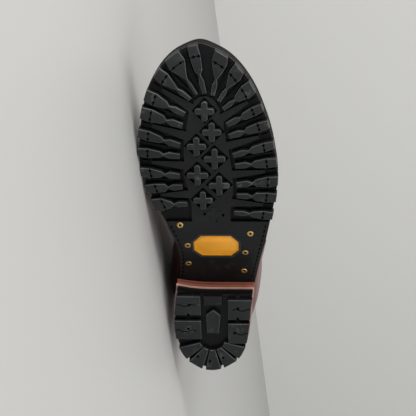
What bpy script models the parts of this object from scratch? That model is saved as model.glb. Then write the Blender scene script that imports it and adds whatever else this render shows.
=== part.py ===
"""Linesman boot for the left foot: a tall lace-up work boot with a lugged rubber sole.

Lengths are in metres. The boot is modelled standing, heel rear at the origin, +Y to the toe,
+X to the inner side of the foot and +Z up. Its sole is cut flat and then bent to toe spring,
waist and heel seat. An empty lays the finished boot on its inner side, where it comes to rest.
"""
import bisect
import math

import bmesh
import bpy
from mathutils import Matrix, Vector
from mathutils.bvhtree import BVHTree

SOLE_LENGTH = 0.305
BALL_WIDTH = 0.118
GAP = 0.0003

# Bent shape of the sole: toe spring, waist and heel seat
TOE_SPRING = 0.020
SEAT_RISE = 0.0245
SEAT_PITCH = 0.13
SPRING_START = 0.682
WAIST_FRONT = 0.492
WAIST_BACK = 0.243

# Layers of the sole, from the ground up
LUG_DEPTH = 0.008
PLATEAU_DEPTH = 0.0042
OUTSOLE_BASE = 0.004
MIDSOLE_THICKNESS = 0.005
WELT_THICKNESS = 0.004
WELT_WIDTH = 0.015
INSOLE_THICKNESS = 0.003
EDGE_STEP = 0.0008
LUG_ROOT = 0.001

# Heel block
TOP_PIECE_THICKNESS = 0.014
HEEL_LUG_DEPTH = 0.005
LIFT_THICKNESS = 0.005
BREAST_ALONG = 0.268
BREAST_SWEEP = 0.005
HEEL_TAPER = 0.0022
LIFT_TAPERS = (0.85, 0.65, 0.4)

# Upper
WALL = 0.0024
INSTEP_RISE = 0.0937
SHAFT_TOP = 0.450
OVERLAY = 0.0015
TONGUE_THICKNESS = 0.0022
THROAT_HALF_WIDTH = 0.014
EYESTAY_WIDTH = 0.019
BACK_STAY_HALF_WIDTH = 0.012

# Fittings
EYELET_RADIUS = 0.0044
EYELET_HOLE = 0.0023
EYELET_HEIGHT = 0.001
HOOK_WIDTH = 0.007
HOOK_HEIGHT = 0.0052
LACE_WIDTH = 0.0042
LACE_THICKNESS = 0.0018
LACE_PITCH = 0.022
LACE_CLEAR = 0.62
END_MARGIN = 0.011
# Side view of a hook: across, as a share of its length, and up, as a share of its height
HOOK_LENGTH = 0.0086
HOOK_PROFILE = ((-0.47, 0.0), (0.45, 0.0), (0.55, 0.30), (0.53, 0.68), (0.35, 0.87),
                (-0.26, 0.87), (-0.53, 1.0), (-0.56, 0.84), (-0.26, 0.70), (0.28, 0.70),
                (0.38, 0.56), (0.40, 0.38), (0.34, 0.17), (-0.47, 0.17))
FITTING_SHARE = 0.55
EYELET_PAIRS = 8
HOOK_PAIRS = 8
NAIL_RADIUS = 0.0028
NAIL_HOLE = 0.0012
NAIL_DEPTH = 0.0015
BADGE_LENGTH = 0.0803 * SOLE_LENGTH
BADGE_WIDTH = 0.343 * BALL_WIDTH
BADGE_THICKNESS = 0.001

# Sole edge: along the sole as a share of its length, then the inner and outer edge as shares of
# the ball width
SOLE_EDGE = (
    (0.012, 0.144, -0.080),
    (0.046, 0.250, -0.199),
    (0.098, 0.312, -0.261),
    (0.164, 0.331, -0.288),
    (0.236, 0.318, -0.305),
    (0.302, 0.286, -0.335),
    (0.367, 0.266, -0.364),
    (0.426, 0.284, -0.398),
    (0.485, 0.338, -0.428),
    (0.538, 0.402, -0.456),
    (0.590, 0.454, -0.478),
    (0.649, 0.498, -0.486),
    (0.708, 0.514, -0.468),
    (0.767, 0.504, -0.438),
    (0.826, 0.480, -0.388),
    (0.879, 0.440, -0.328),
    (0.925, 0.375, -0.250),
    (0.961, 0.295, -0.159),
    (0.985, 0.199, -0.055),
)
TOE_TIP = (0.068, 1.0)
HEEL_REAR = (0.034, 0.0)

# Lugs of the forepart: side, place along the edge from the toe tip, width at the edge, width
# before the neck, width of the inner leaf, inner end across and along. Edge places are shares
# of the forepart's edge, widths and the end across are shares of the ball width.
LUGS = (
    (1, 0.027, 0.083, 0.056, 0.038, 0.027, 0.876),
    (1, 0.130, 0.133, 0.034, 0.024, 0.081, 0.873),
    (1, 0.228, 0.089, 0.036, 0.034, 0.126, 0.860),
    (1, 0.338, 0.093, 0.052, 0.042, 0.169, 0.821),
    (1, 0.419, 0.096, 0.062, 0.048, 0.186, 0.790),
    (1, 0.513, 0.077, 0.050, 0.046, 0.208, 0.735),
    (1, 0.603, 0.073, 0.046, 0.048, 0.213, 0.704),
    (1, 0.702, 0.081, 0.048, 0.050, 0.219, 0.645),
    (1, 0.788, 0.075, 0.062, 0.048, 0.203, 0.613),
    (1, 0.875, 0.108, 0.049, 0.042, 0.172, 0.560),
    (-1, 0.111, 0.117, 0.045, 0.036, -0.030, 0.871),
    (-1, 0.213, 0.102, 0.034, 0.031, -0.072, 0.855),
    (-1, 0.310, 0.104, 0.050, 0.032, -0.102, 0.834),
    (-1, 0.410, 0.068, 0.052, 0.042, -0.127, 0.792),
    (-1, 0.490, 0.070, 0.052, 0.044, -0.141, 0.760),
    (-1, 0.588, 0.070, 0.053, 0.042, -0.166, 0.706),
    (-1, 0.672, 0.077, 0.054, 0.046, -0.180, 0.675),
    (-1, 0.764, 0.085, 0.055, 0.047, -0.189, 0.619),
    (-1, 0.849, 0.081, 0.060, 0.044, -0.187, 0.586),
    (-1, 0.942, 0.072, 0.044, 0.038, -0.167, 0.534),
)
LUG_NECK = 0.0008
TONGUE_AFTER = (2, 4, 6, 8)
TONGUE_ROOT = 0.0034
TONGUE_TIP = 0.0013
TONGUE_REACH = 0.70
END_GROOVE = 0.0032
# Rear end of the raised middle and front end of the smooth waist, as shares of the sole length
MIDDLE_BACK = 0.505
WAIST_END = 0.502
MIDDLE_OVERLAP = 0.004
LUG_CORNER = 0.0009

# Crosses of the tread: across and along, and the reach of an arm as a share of the ball width
CROSSES = (
    (0.030, 0.828, 0.068),
    (-0.019, 0.771, 0.068),
    (0.092, 0.731, 0.068),
    (-0.035, 0.695, 0.077),
    (0.091, 0.647, 0.077),
    (-0.063, 0.616, 0.075),
    (0.057, 0.571, 0.070),
)
CROSS_ARM = 0.0025
CROSS_CHAMFER = 0.0013
DIAMOND_MARGIN = 0.0028

# Side blocks of the heel: side, inner end across, back and front along, as shares
HEEL_BLOCKS = (
    (1, 0.104, 0.201, 0.264),
    (1, 0.104, 0.118, 0.181),
    (-1, -0.107, 0.186, 0.252),
    (-1, -0.104, 0.104, 0.172),
)
HEEL_LEAF = ((0.0085, 0.2185), (0.063, 0.201), (0.058, 0.139), (-0.031, 0.139), (-0.048, 0.201))
# Fan of blocks at the heel's rear: its centre, its sweep in degrees, blocks, half a slit in
# radians, and its inner radius as a share of the ball width
FAN_CENTRE = (0.023, 0.117)
FAN_SWEEP = (192.0, 346.0)
FAN_BLOCKS = 5
FAN_SLIT = 0.05
FAN_HUB = 0.0975

# Hollow nails of the waist: across and along
NAILS = (
    (0.236, 0.490),
    (0.189, 0.418),
    (0.196, 0.343),
    (-0.282, 0.462),
    (-0.241, 0.390),
    (-0.227, 0.312),
)
BADGE_CENTRE = (-0.025, 0.416)

# Upper over the foot: bottom of the section along the sole, top of the section along the sole,
# top's height over the feather as a share of the instep rise, girth beyond the feather and
# shift of the ridge to the inner side as shares of the ball width, height of the widest place
# as a share of the section, crown power
FOOT_SECTIONS = (
    (0.972, 0.972, 0.000, 0.000, 0.000, 0.34, 0.85),
    (0.9675, 0.9675, 0.150, 0.030, 0.000, 0.34, 0.85),
    (0.956, 0.956, 0.245, 0.055, 0.002, 0.34, 0.85),
    (0.938, 0.938, 0.325, 0.075, 0.006, 0.34, 0.86),
    (0.915, 0.915, 0.385, 0.090, 0.010, 0.34, 0.88),
    (0.885, 0.885, 0.432, 0.100, 0.014, 0.33, 0.90),
    (0.846, 0.846, 0.470, 0.110, 0.018, 0.32, 0.93),
    (0.793, 0.793, 0.502, 0.115, 0.022, 0.31, 0.96),
    (0.738, 0.738, 0.540, 0.120, 0.026, 0.30, 1.00),
    (0.675, 0.679, 0.612, 0.130, 0.030, 0.29, 1.06),
    (0.613, 0.626, 0.724, 0.150, 0.032, 0.28, 1.12),
    (0.544, 0.577, 0.858, 0.180, 0.032, 0.28, 1.16),
    (0.479, 0.528, 1.000, 0.210, 0.030, 0.29, 1.16),
    (0.407, 0.482, 1.150, 0.222, 0.026, 0.31, 1.14),
    (0.328, 0.443, 1.310, 0.222, 0.020, 0.34, 1.10),
    (0.249, 0.410, 1.480, 0.222, 0.014, 0.38, 1.06),
    (0.170, 0.384, 1.670, 0.236, 0.008, 0.42, 1.03),
    (0.111, 0.366, 1.855, 0.262, 0.004, 0.45, 1.01),
    (0.062, 0.354, 2.030, 0.290, 0.000, 0.47, 1.00),
    (0.030, 0.346, 2.180, 0.312, 0.000, 0.48, 1.00),
    (0.0145, 0.341, 2.320, 0.326, 0.000, 0.49, 1.00),
)
# Upper over the ankle and leg: back along the sole, its height as a share of the way from the
# heel seat to the shaft's top, front along the sole, its height as a share of the way from the
# last foot section to the shaft's top, girth as a share of the ball width
SHAFT_SECTIONS = (
    (0.005, 0.0729, 0.338, 0.0590, 0.330),
    (0.008, 0.1358, 0.336, 0.1189, 0.334),
    (0.023, 0.1998, 0.336, 0.1745, 0.340),
    (0.038, 0.2638, 0.338, 0.2301, 0.350),
    (0.046, 0.3267, 0.341, 0.2900, 0.364),
    (0.046, 0.4033, 0.346, 0.3584, 0.382),
    (0.036, 0.4925, 0.353, 0.4397, 0.404),
    (0.021, 0.5931, 0.361, 0.5381, 0.428),
    (0.008, 0.6948, 0.370, 0.6493, 0.450),
    (0.000, 0.7965, 0.379, 0.7605, 0.468),
    (-0.005, 0.8983, 0.385, 0.8760, 0.482),
    (-0.008, 1.0000, 0.389, 1.0000, 0.490),
)
LEG_CENTRE = 0.030
SHAFT_WIDEST = 0.49
# Distance from the sole's edge to the feather line: along the sole, share of the ball width
FEATHER_INSET = ((0.0, 0.034), (0.25, 0.034), (0.42, 0.047), (0.60, 0.070), (1.0, 0.072))
THROAT_START = 9.0
# Upper edge of the heel counter: along the sole, height as a share of the shaft's top
COUNTER_EDGE = ((0.37, 0.10), (0.34, 0.155), (0.26, 0.205), (0.15, 0.245),
                (0.05, 0.268), (-0.06, 0.275))
COUNTER_FOOT = 0.0012

# Columns of the upper's grid on a side, an eyestay and half the throat, and its foot stations
SIDE_COLUMNS = 9
STAY_COLUMNS = 2
THROAT_COLUMNS = 2
FOOT_STEPS = (0, 0.5, 1, 1.6, 2.3, 3, 4, 5, 6, 7, 8, 9, 10, 11, 12, 13, 14, 15, 16, 17, 18,
              18.6, 19.2, 19.7, 20)
# Densities in kg/m3 by material
DENSITY = {"rubber": 1180.0, "sole_leather": 1000.0, "upper_leather": 900.0, "brass": 8400.0,
           "badge_yellow": 1200.0, "lace_cord": 900.0}

OUTSOLE_TOP = LUG_DEPTH + OUTSOLE_BASE
MIDSOLE_TOP = OUTSOLE_TOP + GAP + MIDSOLE_THICKNESS
WELT_TOP = MIDSOLE_TOP + GAP + WELT_THICKNESS
FEATHER_LEVEL = WELT_TOP + 2 * GAP
PLATEAU_LEVEL = LUG_DEPTH - PLATEAU_DEPTH


def material(name, colour, roughness, metallic=0.0):
    """Principled material of one part."""
    made = bpy.data.materials.new(name)
    made.use_nodes = True
    shader = made.node_tree.nodes["Principled BSDF"]
    shader.inputs["Base Color"].default_value = (*colour, 1.0)
    shader.inputs["Roughness"].default_value = roughness
    shader.inputs["Metallic"].default_value = metallic
    return made


def add_object(name, bm, finish, boot):
    """Named object from a bmesh, parented to the boot."""
    bmesh.ops.recalc_face_normals(bm, faces=bm.faces)
    for mark in list(bm.verts.layers.float.values()):
        bm.verts.layers.float.remove(mark)
    mesh = bpy.data.meshes.new(name)
    bm.to_mesh(mesh)
    bm.free()
    mesh.materials.append(finish)
    made = bpy.data.objects.new(name, mesh)
    bpy.context.collection.objects.link(made)
    made.parent = boot
    return made


def closed_curve(points, steps):
    """Smooth closed curve through points, a point list."""
    count = len(points)
    curve = []
    for index in range(count):
        p0, p1, p2, p3 = (Vector(points[(index + shift) % count]) for shift in (-1, 0, 1, 2))
        for step in range(steps):
            t = step / steps
            curve.append(0.5 * (2 * p1 + (p2 - p0) * t + (2 * p0 - 5 * p1 + 4 * p2 - p3) * t * t
                                + (3 * p1 - p0 - 3 * p2 + p3) * t ** 3))
    return curve


def sole_points():
    """Edge points of the sole: heel rear, inner side, toe tip, outer side."""
    inner = [(x * BALL_WIDTH, y * SOLE_LENGTH) for y, x, _ in SOLE_EDGE]
    outer = [(x * BALL_WIDTH, y * SOLE_LENGTH) for y, _, x in reversed(SOLE_EDGE)]
    rear = (HEEL_REAR[0] * BALL_WIDTH, HEEL_REAR[1] * SOLE_LENGTH)
    tip = (TOE_TIP[0] * BALL_WIDTH, TOE_TIP[1] * SOLE_LENGTH)
    return [rear] + inner + [tip] + outer


def inward(loop, distance):
    """Loop moved inwards by a distance, or by a function of each point."""
    count = len(loop)
    moved = []
    for index, point in enumerate(loop):
        along = loop[(index + 1) % count] - loop[index - 1]
        normal = Vector((-along.y, along.x)).normalized()
        size = distance(point) if callable(distance) else distance
        moved.append(point + normal * size)
    return moved


def sole_loop(inset=0.0, steps=2):
    """Outline of the sole, moved inwards."""
    return inward(closed_curve(sole_points(), steps), inset)


def lift(y):
    """Height that bending adds to the flat sole at y."""
    along = y / SOLE_LENGTH
    if along > SPRING_START:
        return TOE_SPRING * ((along - SPRING_START) / (1 - SPRING_START)) ** 2
    if along > WAIST_FRONT:
        return 0.0
    length = (WAIST_FRONT - WAIST_BACK) * SOLE_LENGTH
    t = (WAIST_FRONT * SOLE_LENGTH - y) / length
    if t > 1.0:
        return SEAT_RISE + (t - 1.0) * length * SEAT_PITCH
    return SEAT_RISE * (3 * t * t - 2 * t ** 3) + SEAT_PITCH * length * (t ** 3 - t * t)


def prism(bm, rings):
    """Closed solid through rings of equal count, each a loop and its level."""
    layers = [[bm.verts.new((p.x, p.y, level)) for p in loop] for loop, level in rings]
    for low, high in zip(layers, layers[1:]):
        for index in range(len(low)):
            after = (index + 1) % len(low)
            bm.faces.new((low[index], low[after], high[after], high[index]))
    bm.faces.new(list(reversed(layers[0])))
    bm.faces.new(layers[-1])


def ring_prism(bm, outer, inner, low, high):
    """Closed flat ring between two loops of equal count."""
    quads = [[bm.verts.new((p.x, p.y, level)) for p in loop]
             for loop, level in ((outer, low), (outer, high), (inner, high), (inner, low))]
    for first, second in zip(quads, quads[1:] + quads[:1]):
        for index in range(len(first)):
            after = (index + 1) % len(first)
            bm.faces.new((first[index], first[after], second[after], second[index]))


def sole_stations():
    """Places along the sole where its pieces are cut before they are bent."""
    spring = [SPRING_START + (1 - SPRING_START) * step / 9 for step in range(9)]
    waist = [WAIST_BACK + (WAIST_FRONT - WAIST_BACK) * step / 8 for step in range(9)]
    return waist + spring


def bend(bm):
    """Cut a flat sole piece at stations and lift it to the bent sole."""
    for along in sole_stations():
        geometry = bm.verts[:] + bm.edges[:] + bm.faces[:]
        bmesh.ops.bisect_plane(bm, geom=geometry, dist=1e-7, plane_co=(0, along * SOLE_LENGTH, 0),
                               plane_no=(0, 1, 0))
    for vert in bm.verts:
        vert.co.z += lift(vert.co.y)


def combine(first, second, operation):
    """Boolean of two bmeshes, as a new bmesh."""
    objects = []
    for bm in (first, second):
        bmesh.ops.recalc_face_normals(bm, faces=bm.faces)
        mesh = bpy.data.meshes.new("piece")
        bm.to_mesh(mesh)
        bm.free()
        made = bpy.data.objects.new("piece", mesh)
        bpy.context.collection.objects.link(made)
        objects.append(made)
    cut = objects[0].modifiers.new("cut", "BOOLEAN")
    cut.operation = operation
    cut.object = objects[1]
    bpy.context.view_layer.update()
    result = bmesh.new()
    result.from_object(objects[0], bpy.context.evaluated_depsgraph_get())
    for made in objects:
        bpy.data.objects.remove(made)
    bmesh.ops.remove_doubles(result, verts=result.verts, dist=1e-6)
    return result


class SoleEdge:
    """Walk along the forepart's edge from the toe tip."""

    def __init__(self):
        steps = 12
        loop = closed_curve(sole_points(), steps)
        tip = steps * (len(SOLE_EDGE) + 1)
        self.sides = {}
        for side, step in ((1, -1), (-1, 1)):
            points = [loop[tip]]
            index = tip
            while points[-1].y > WAIST_FRONT * SOLE_LENGTH:
                index += step
                points.append(loop[index % len(loop)])
            reach = [0.0]
            for before, after in zip(points, points[1:]):
                reach.append(reach[-1] + (after - before).length)
            self.sides[side] = (points, reach)

    def at(self, side, share, shift=0.0):
        """Edge point at a share of the forepart's edge, plus a length along it."""
        points, reach = self.sides[side]
        wanted = share * reach[-1] + shift
        if wanted < 0.0:
            return self.at(-side, 0.0, -wanted)
        index = min(max(bisect.bisect_left(reach, wanted), 1), len(reach) - 1)
        part = (wanted - reach[index - 1]) / (reach[index] - reach[index - 1])
        return points[index - 1].lerp(points[index], min(part, 1.0))


def lug_outline(edge, row):
    """Outline of a lug: block at the edge, neck and inner leaf."""
    side, place, wide, kink, leaf, end_x, end_y = row
    half = wide * BALL_WIDTH / 2
    start = edge.at(side, place)
    end = Vector((end_x * BALL_WIDTH, end_y * SOLE_LENGTH))
    axis = (end - start)
    across = Vector((-axis.y, axis.x)).normalized() * side
    stations = (
        (0.24, half * 0.94),
        (0.52, kink * BALL_WIDTH / 2),
        (0.61, LUG_NECK),
        (0.75, leaf * BALL_WIDTH / 2),
        (1.0, leaf * BALL_WIDTH * 0.39),
    )
    outline = [edge.at(side, place, LUG_CORNER - half), start,
               edge.at(side, place, half - LUG_CORNER)]
    far = [start + axis * share - across * width for share, width in stations]
    near = [start + axis * share + across * width for share, width in stations]
    first = (outline[-1] - start).dot(across)
    if first > 0:
        return outline + near + list(reversed(far))
    return outline + far + list(reversed(near))


def lug_loops(edge):
    """Outlines of the forepart's lugs and crosses."""
    loops = [lug_outline(edge, row) for row in LUGS]
    for x, y, reach in CROSSES:
        centre = Vector((x * BALL_WIDTH, y * SOLE_LENGTH))
        loops.append(cross_outline(centre, reach * BALL_WIDTH))
    return loops


def prism_cut(body, loop, low, high, operation):
    """Join a prism to a body, or cut it out."""
    tool = bmesh.new()
    prism(tool, [(loop, low), (loop, high)])
    return combine(body, tool, operation)


def cross_outline(centre, reach):
    """Four-armed cross with chamfered ends."""
    loop = []
    for quarter in range(4):
        turn = Matrix.Rotation(math.pi / 2 * quarter, 2)
        for x, y in ((reach - CROSS_CHAMFER, -CROSS_ARM), (reach, -CROSS_ARM + CROSS_CHAMFER),
                     (reach, CROSS_ARM - CROSS_CHAMFER), (reach - CROSS_CHAMFER, CROSS_ARM),
                     (CROSS_ARM, CROSS_ARM)):
            loop.append(centre + turn @ Vector((x, y)))
    return loop


def plateau_outline(edge):
    """Middle of the tread with its tongues between the lugs."""
    def lug_end(row):
        return Vector((row[5] * BALL_WIDTH, row[6] * SOLE_LENGTH))

    sides = []
    for side in (1, -1):
        rows = [row for row in LUGS if row[0] == side]
        points = []
        for index, row in enumerate(rows):
            end = lug_end(row)
            along = (end - edge.at(side, row[1])).normalized()
            points.append(end + along * END_GROOVE)
            if index in TONGUE_AFTER:
                after = rows[index + 1]
                root = (end + lug_end(after)) / 2
                tip_edge = (edge.at(side, row[1]) + edge.at(side, after[1])) / 2
                axis = (tip_edge - root).normalized()
                across = Vector((-axis.y, axis.x)) * side
                tip = root + (tip_edge - root) * TONGUE_REACH
                base = root - axis * END_GROOVE
                points += [base + across * TONGUE_ROOT, root + across * TONGUE_ROOT,
                           tip + across * TONGUE_TIP, tip - across * TONGUE_TIP,
                           root - across * TONGUE_ROOT, base - across * TONGUE_ROOT]
        back = Vector((points[-1].x, MIDDLE_BACK * SOLE_LENGTH))
        points.append(back)
        sides.append(points)
    inner, outer = sides
    # ordered from the inner waist over the toe to the outer waist
    loop = list(reversed(inner)) + outer
    rear = WAIST_FRONT * SOLE_LENGTH - MIDDLE_OVERLAP
    loop += [Vector((outer[-1].x, rear)), Vector((inner[-1].x, rear))]
    return loop


def waist_outline():
    """Waist and heel seat of the outsole, behind the lugs."""
    front = WAIST_END * SOLE_LENGTH
    loop = [p for p in sole_loop(EDGE_STEP + 0.0004, 6) if p.y < front]
    split = max(range(len(loop)), key=lambda k: (loop[k] - loop[k - 1]).length)
    loop = loop[split:] + loop[:split]
    first, last = loop[0], loop[-1]
    bridge = [Vector((last.x + (first.x - last.x) * t, front)) for t in (0.0, 0.25, 0.5, 0.75, 1.0)]
    if bridge[0].y - last.y < 0.0005:
        bridge[0].y = last.y + 0.0005
    return loop[::3] + bridge


def octagon(centre, width, length):
    """Plate outline with cut corners."""
    corner = min(width, length) * 0.29
    half_w = width / 2
    half_l = length / 2
    corners = ((half_w, half_l - corner), (half_w - corner, half_l),
               (corner - half_w, half_l), (-half_w, half_l - corner),
               (-half_w, corner - half_l), (corner - half_w, -half_l),
               (half_w - corner, -half_l), (half_w, corner - half_l))
    return [centre + Vector(corner_point) for corner_point in corners]


def circle(centre, radius, sides=8):
    """Loop of points round a centre."""
    return [centre + Vector((math.cos(a), math.sin(a))) * radius
            for a in (2 * math.pi * k / sides for k in range(sides))]


def make_outsole(boot, finish):
    """One-piece rubber outsole with lugs, plateau, crosses, badge and nail pockets."""
    edge = SoleEdge()
    base = bmesh.new()
    loop = sole_loop(EDGE_STEP)
    prism(base, [(loop, LUG_DEPTH), (loop, OUTSOLE_TOP)])
    middle = bmesh.new()
    top = LUG_DEPTH + LUG_ROOT
    plateau = plateau_outline(edge)
    prism(middle, [(plateau, PLATEAU_LEVEL), (plateau, top)])
    waist = bmesh.new()
    loop = waist_outline()
    prism(waist, [(loop, PLATEAU_LEVEL), (loop, top + GAP)])
    layer = combine(middle, waist, "UNION")
    for x, y, reach in CROSSES:
        centre = Vector((x * BALL_WIDTH, y * SOLE_LENGTH))
        diamond = circle(centre, reach * BALL_WIDTH + DIAMOND_MARGIN, 4)
        layer = prism_cut(layer, diamond, -LUG_ROOT, 2 * LUG_DEPTH, "DIFFERENCE")
    for centre in nail_places():
        pocket = circle(centre, NAIL_RADIUS + 2 * GAP)
        layer = prism_cut(layer, pocket, -LUG_ROOT, PLATEAU_LEVEL + NAIL_DEPTH, "DIFFERENCE")
    badge = octagon(badge_centre(), BADGE_WIDTH + 2 * GAP, BADGE_LENGTH + 2 * GAP)
    badge_top = PLATEAU_LEVEL + 2 * GAP + BADGE_THICKNESS
    layer = prism_cut(layer, badge, -LUG_ROOT, badge_top, "DIFFERENCE")
    body = combine(base, layer, "UNION")
    for loop in lug_loops(edge):
        body = prism_cut(body, loop, 0.0, top, "UNION")
    bend(body)
    return add_object("outsole", body, finish, boot)


def badge_centre():
    return Vector((BADGE_CENTRE[0] * BALL_WIDTH, BADGE_CENTRE[1] * SOLE_LENGTH))


def nail_places():
    return [Vector((x * BALL_WIDTH, y * SOLE_LENGTH)) for x, y in NAILS]


def make_badge(boot, finish):
    """Bare plate in the waist."""
    bm = bmesh.new()
    loop = octagon(badge_centre(), BADGE_WIDTH, BADGE_LENGTH)
    low = PLATEAU_LEVEL + GAP
    prism(bm, [(loop, low), (loop, low + BADGE_THICKNESS)])
    bend(bm)
    add_object("badge_plate", bm, finish, boot)


def make_nails(boot, finish):
    """Hollow nail heads in their pockets."""
    for number, centre in enumerate(nail_places(), 1):
        bm = bmesh.new()
        ring_prism(bm, circle(centre, NAIL_RADIUS), circle(centre, NAIL_HOLE),
                   PLATEAU_LEVEL - GAP, PLATEAU_LEVEL + NAIL_DEPTH - GAP)
        for vert in bm.verts:
            vert.co.z += lift(vert.co.y)
        add_object(f"nail_{number}", bm, finish, boot)


def make_midsole(boot, finish):
    """Full-length leather midsole."""
    bm = bmesh.new()
    low = OUTSOLE_TOP + GAP
    edge = sole_loop(EDGE_STEP / 2)
    prism(bm, [(edge, low), (edge, low + MIDSOLE_THICKNESS)])
    bend(bm)
    add_object("midsole", bm, finish, boot)


def make_welt(boot, finish):
    """Welt ring that carries the upper."""
    bm = bmesh.new()
    low = MIDSOLE_TOP + GAP
    ring_prism(bm, sole_loop(0.0), sole_loop(WELT_WIDTH), low, low + WELT_THICKNESS)
    bend(bm)
    add_object("welt", bm, finish, boot)


def heel_loop(inset):
    """Outline of the heel block behind its breast."""
    loop = sole_loop(inset, 6)

    def breast(x):
        sweep = max(0.0, (x - 0.004) / (0.3 * BALL_WIDTH))
        return BREAST_ALONG * SOLE_LENGTH + BREAST_SWEEP * sweep ** 2

    back = [p for p in loop if p.y < breast(p.x) - 0.002]
    split = max(range(len(back)), key=lambda k: (back[k] - back[k - 1]).length)
    back = back[split:] + back[:split]
    first, last = back[0], back[-1]
    back = back[::3] if (len(back) - 1) % 3 == 0 else back[::3] + [last]
    front = []
    for step in range(7):
        x = last.x + (first.x - last.x) * step / 6
        front.append(Vector((x, breast(x))))
    return back + front


def heel_blocks(loop):
    """Tread blocks of the top piece, as closed loops of points."""
    def side_block(side, x_in, low, high):
        edge_points = [p for p in loop if low < p.y < high and p.x * side > x_in * side]
        edge_points.sort(key=lambda p: p.y)
        bottom = edge_at(loop, side, low)
        top = edge_at(loop, side, high)
        return [Vector((x_in, low)), bottom] + edge_points + [top, Vector((x_in, high))]

    blocks = [side_block(side, across * BALL_WIDTH, low * SOLE_LENGTH, high * SOLE_LENGTH)
              for side, across, low, high in HEEL_BLOCKS]
    blocks.append([Vector((x * BALL_WIDTH, y * SOLE_LENGTH)) for x, y in HEEL_LEAF])
    centre = Vector((FAN_CENTRE[0] * BALL_WIDTH, FAN_CENTRE[1] * SOLE_LENGTH))
    first, last = (math.radians(angle) for angle in FAN_SWEEP)
    for number in range(FAN_BLOCKS):
        start = first + (last - first) * number / FAN_BLOCKS + FAN_SLIT
        end = first + (last - first) * (number + 1) / FAN_BLOCKS - FAN_SLIT
        angles = [start + (end - start) * t / 3 for t in range(4)]
        rim = [ray_to_loop(loop, centre, angle) for angle in angles]
        hub = [centre + Vector((math.cos(a), math.sin(a))) * FAN_HUB * BALL_WIDTH for a in angles]
        blocks.append(hub + list(reversed(rim)))
    return blocks


def edge_at(loop, side, y):
    """Point of a loop at y, on one side."""
    best = None
    for before, after in zip(loop, loop[1:] + loop[:1]):
        if (before.y - y) * (after.y - y) <= 0 and before.y != after.y:
            point = before.lerp(after, (y - before.y) / (after.y - before.y))
            if best is None or point.x * side > best.x * side:
                best = point
    return best


def ray_to_loop(loop, centre, angle):
    """Where a ray from the centre meets a loop."""
    direction = Vector((math.cos(angle), math.sin(angle)))
    nearest = None
    for before, after in zip(loop, loop[1:] + loop[:1]):
        edge = after - before
        cross = direction.x * edge.y - direction.y * edge.x
        if abs(cross) < 1e-12:
            continue
        gap = before - centre
        distance = (gap.x * edge.y - gap.y * edge.x) / cross
        share = (gap.x * direction.y - gap.y * direction.x) / cross
        if distance > 0 and -1e-6 <= share <= 1 + 1e-6:
            if nearest is None or distance < nearest:
                nearest = distance
    return centre + direction * nearest


def make_heel(boot, rubber, leather):
    """Rubber top piece and stacked leather lifts."""
    outline = heel_loop(HEEL_TAPER)
    base = bmesh.new()
    inner = inward(outline, 2 * GAP)
    prism(base, [(inner, HEEL_LUG_DEPTH), (inner, TOP_PIECE_THICKNESS)])
    body = base
    for loop in heel_blocks(outline):
        body = prism_cut(body, loop, 0.0, HEEL_LUG_DEPTH + LUG_ROOT, "UNION")
    add_object("heel_top_piece", body, rubber, boot)
    level = TOP_PIECE_THICKNESS
    for number, taper in enumerate(LIFT_TAPERS[:-1], 1):
        loop = heel_loop(HEEL_TAPER * taper)
        bm = bmesh.new()
        prism(bm, [(loop, level + GAP), (loop, level + LIFT_THICKNESS)])
        level += LIFT_THICKNESS
        add_object(f"heel_lift_{number}", bm, leather, boot)
    loop = heel_loop(HEEL_TAPER * LIFT_TAPERS[-1])
    bm = bmesh.new()
    prism(bm, [(loop, 0.0), (loop, 1.0)])
    bend_wedge(bm, level + GAP)
    add_object("heel_lift_3", bm, leather, boot)


def bend_wedge(bm, low):
    """Wedge with a flat lower face and the heel seat above."""
    geometry = bm.verts[:] + bm.edges[:] + bm.faces[:]
    bmesh.ops.bisect_plane(bm, geom=geometry, dist=1e-7, plane_co=(0, WAIST_BACK * SOLE_LENGTH, 0),
                           plane_no=(0, 1, 0))
    for vert in bm.verts:
        seat = PLATEAU_LEVEL + lift(vert.co.y) - GAP
        vert.co.z = low if vert.co.z < 0.5 else seat


def smooth_table(knots, values, x):
    """Monotone cubic interpolation."""
    index = min(max(bisect.bisect_right(knots, x), 1), len(knots) - 1)
    k = index - 1

    def slope(i):
        if i == 0:
            return (values[1] - values[0]) / (knots[1] - knots[0])
        if i == len(knots) - 1:
            return (values[-1] - values[-2]) / (knots[-1] - knots[-2])
        before = (values[i] - values[i - 1]) / (knots[i] - knots[i - 1])
        after = (values[i + 1] - values[i]) / (knots[i + 1] - knots[i])
        if before * after <= 0:
            return 0.0
        return 2 * before * after / (before + after)

    step = knots[k + 1] - knots[k]
    t = (x - knots[k]) / step
    m0, m1 = slope(k) * step, slope(k + 1) * step
    return ((2 * t ** 3 - 3 * t * t + 1) * values[k] + (t ** 3 - 2 * t * t + t) * m0
            + (3 * t * t - 2 * t ** 3) * values[k + 1] + (t ** 3 - t * t) * m1)


def feather_inset(point):
    """Distance of the feather line from the sole's edge at a point."""
    along = min(max(point.y / SOLE_LENGTH, 0.0), 1.0)
    knots = [place for place, _ in FEATHER_INSET]
    return smooth_table(knots, [inset for _, inset in FEATHER_INSET], along) * BALL_WIDTH


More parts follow.
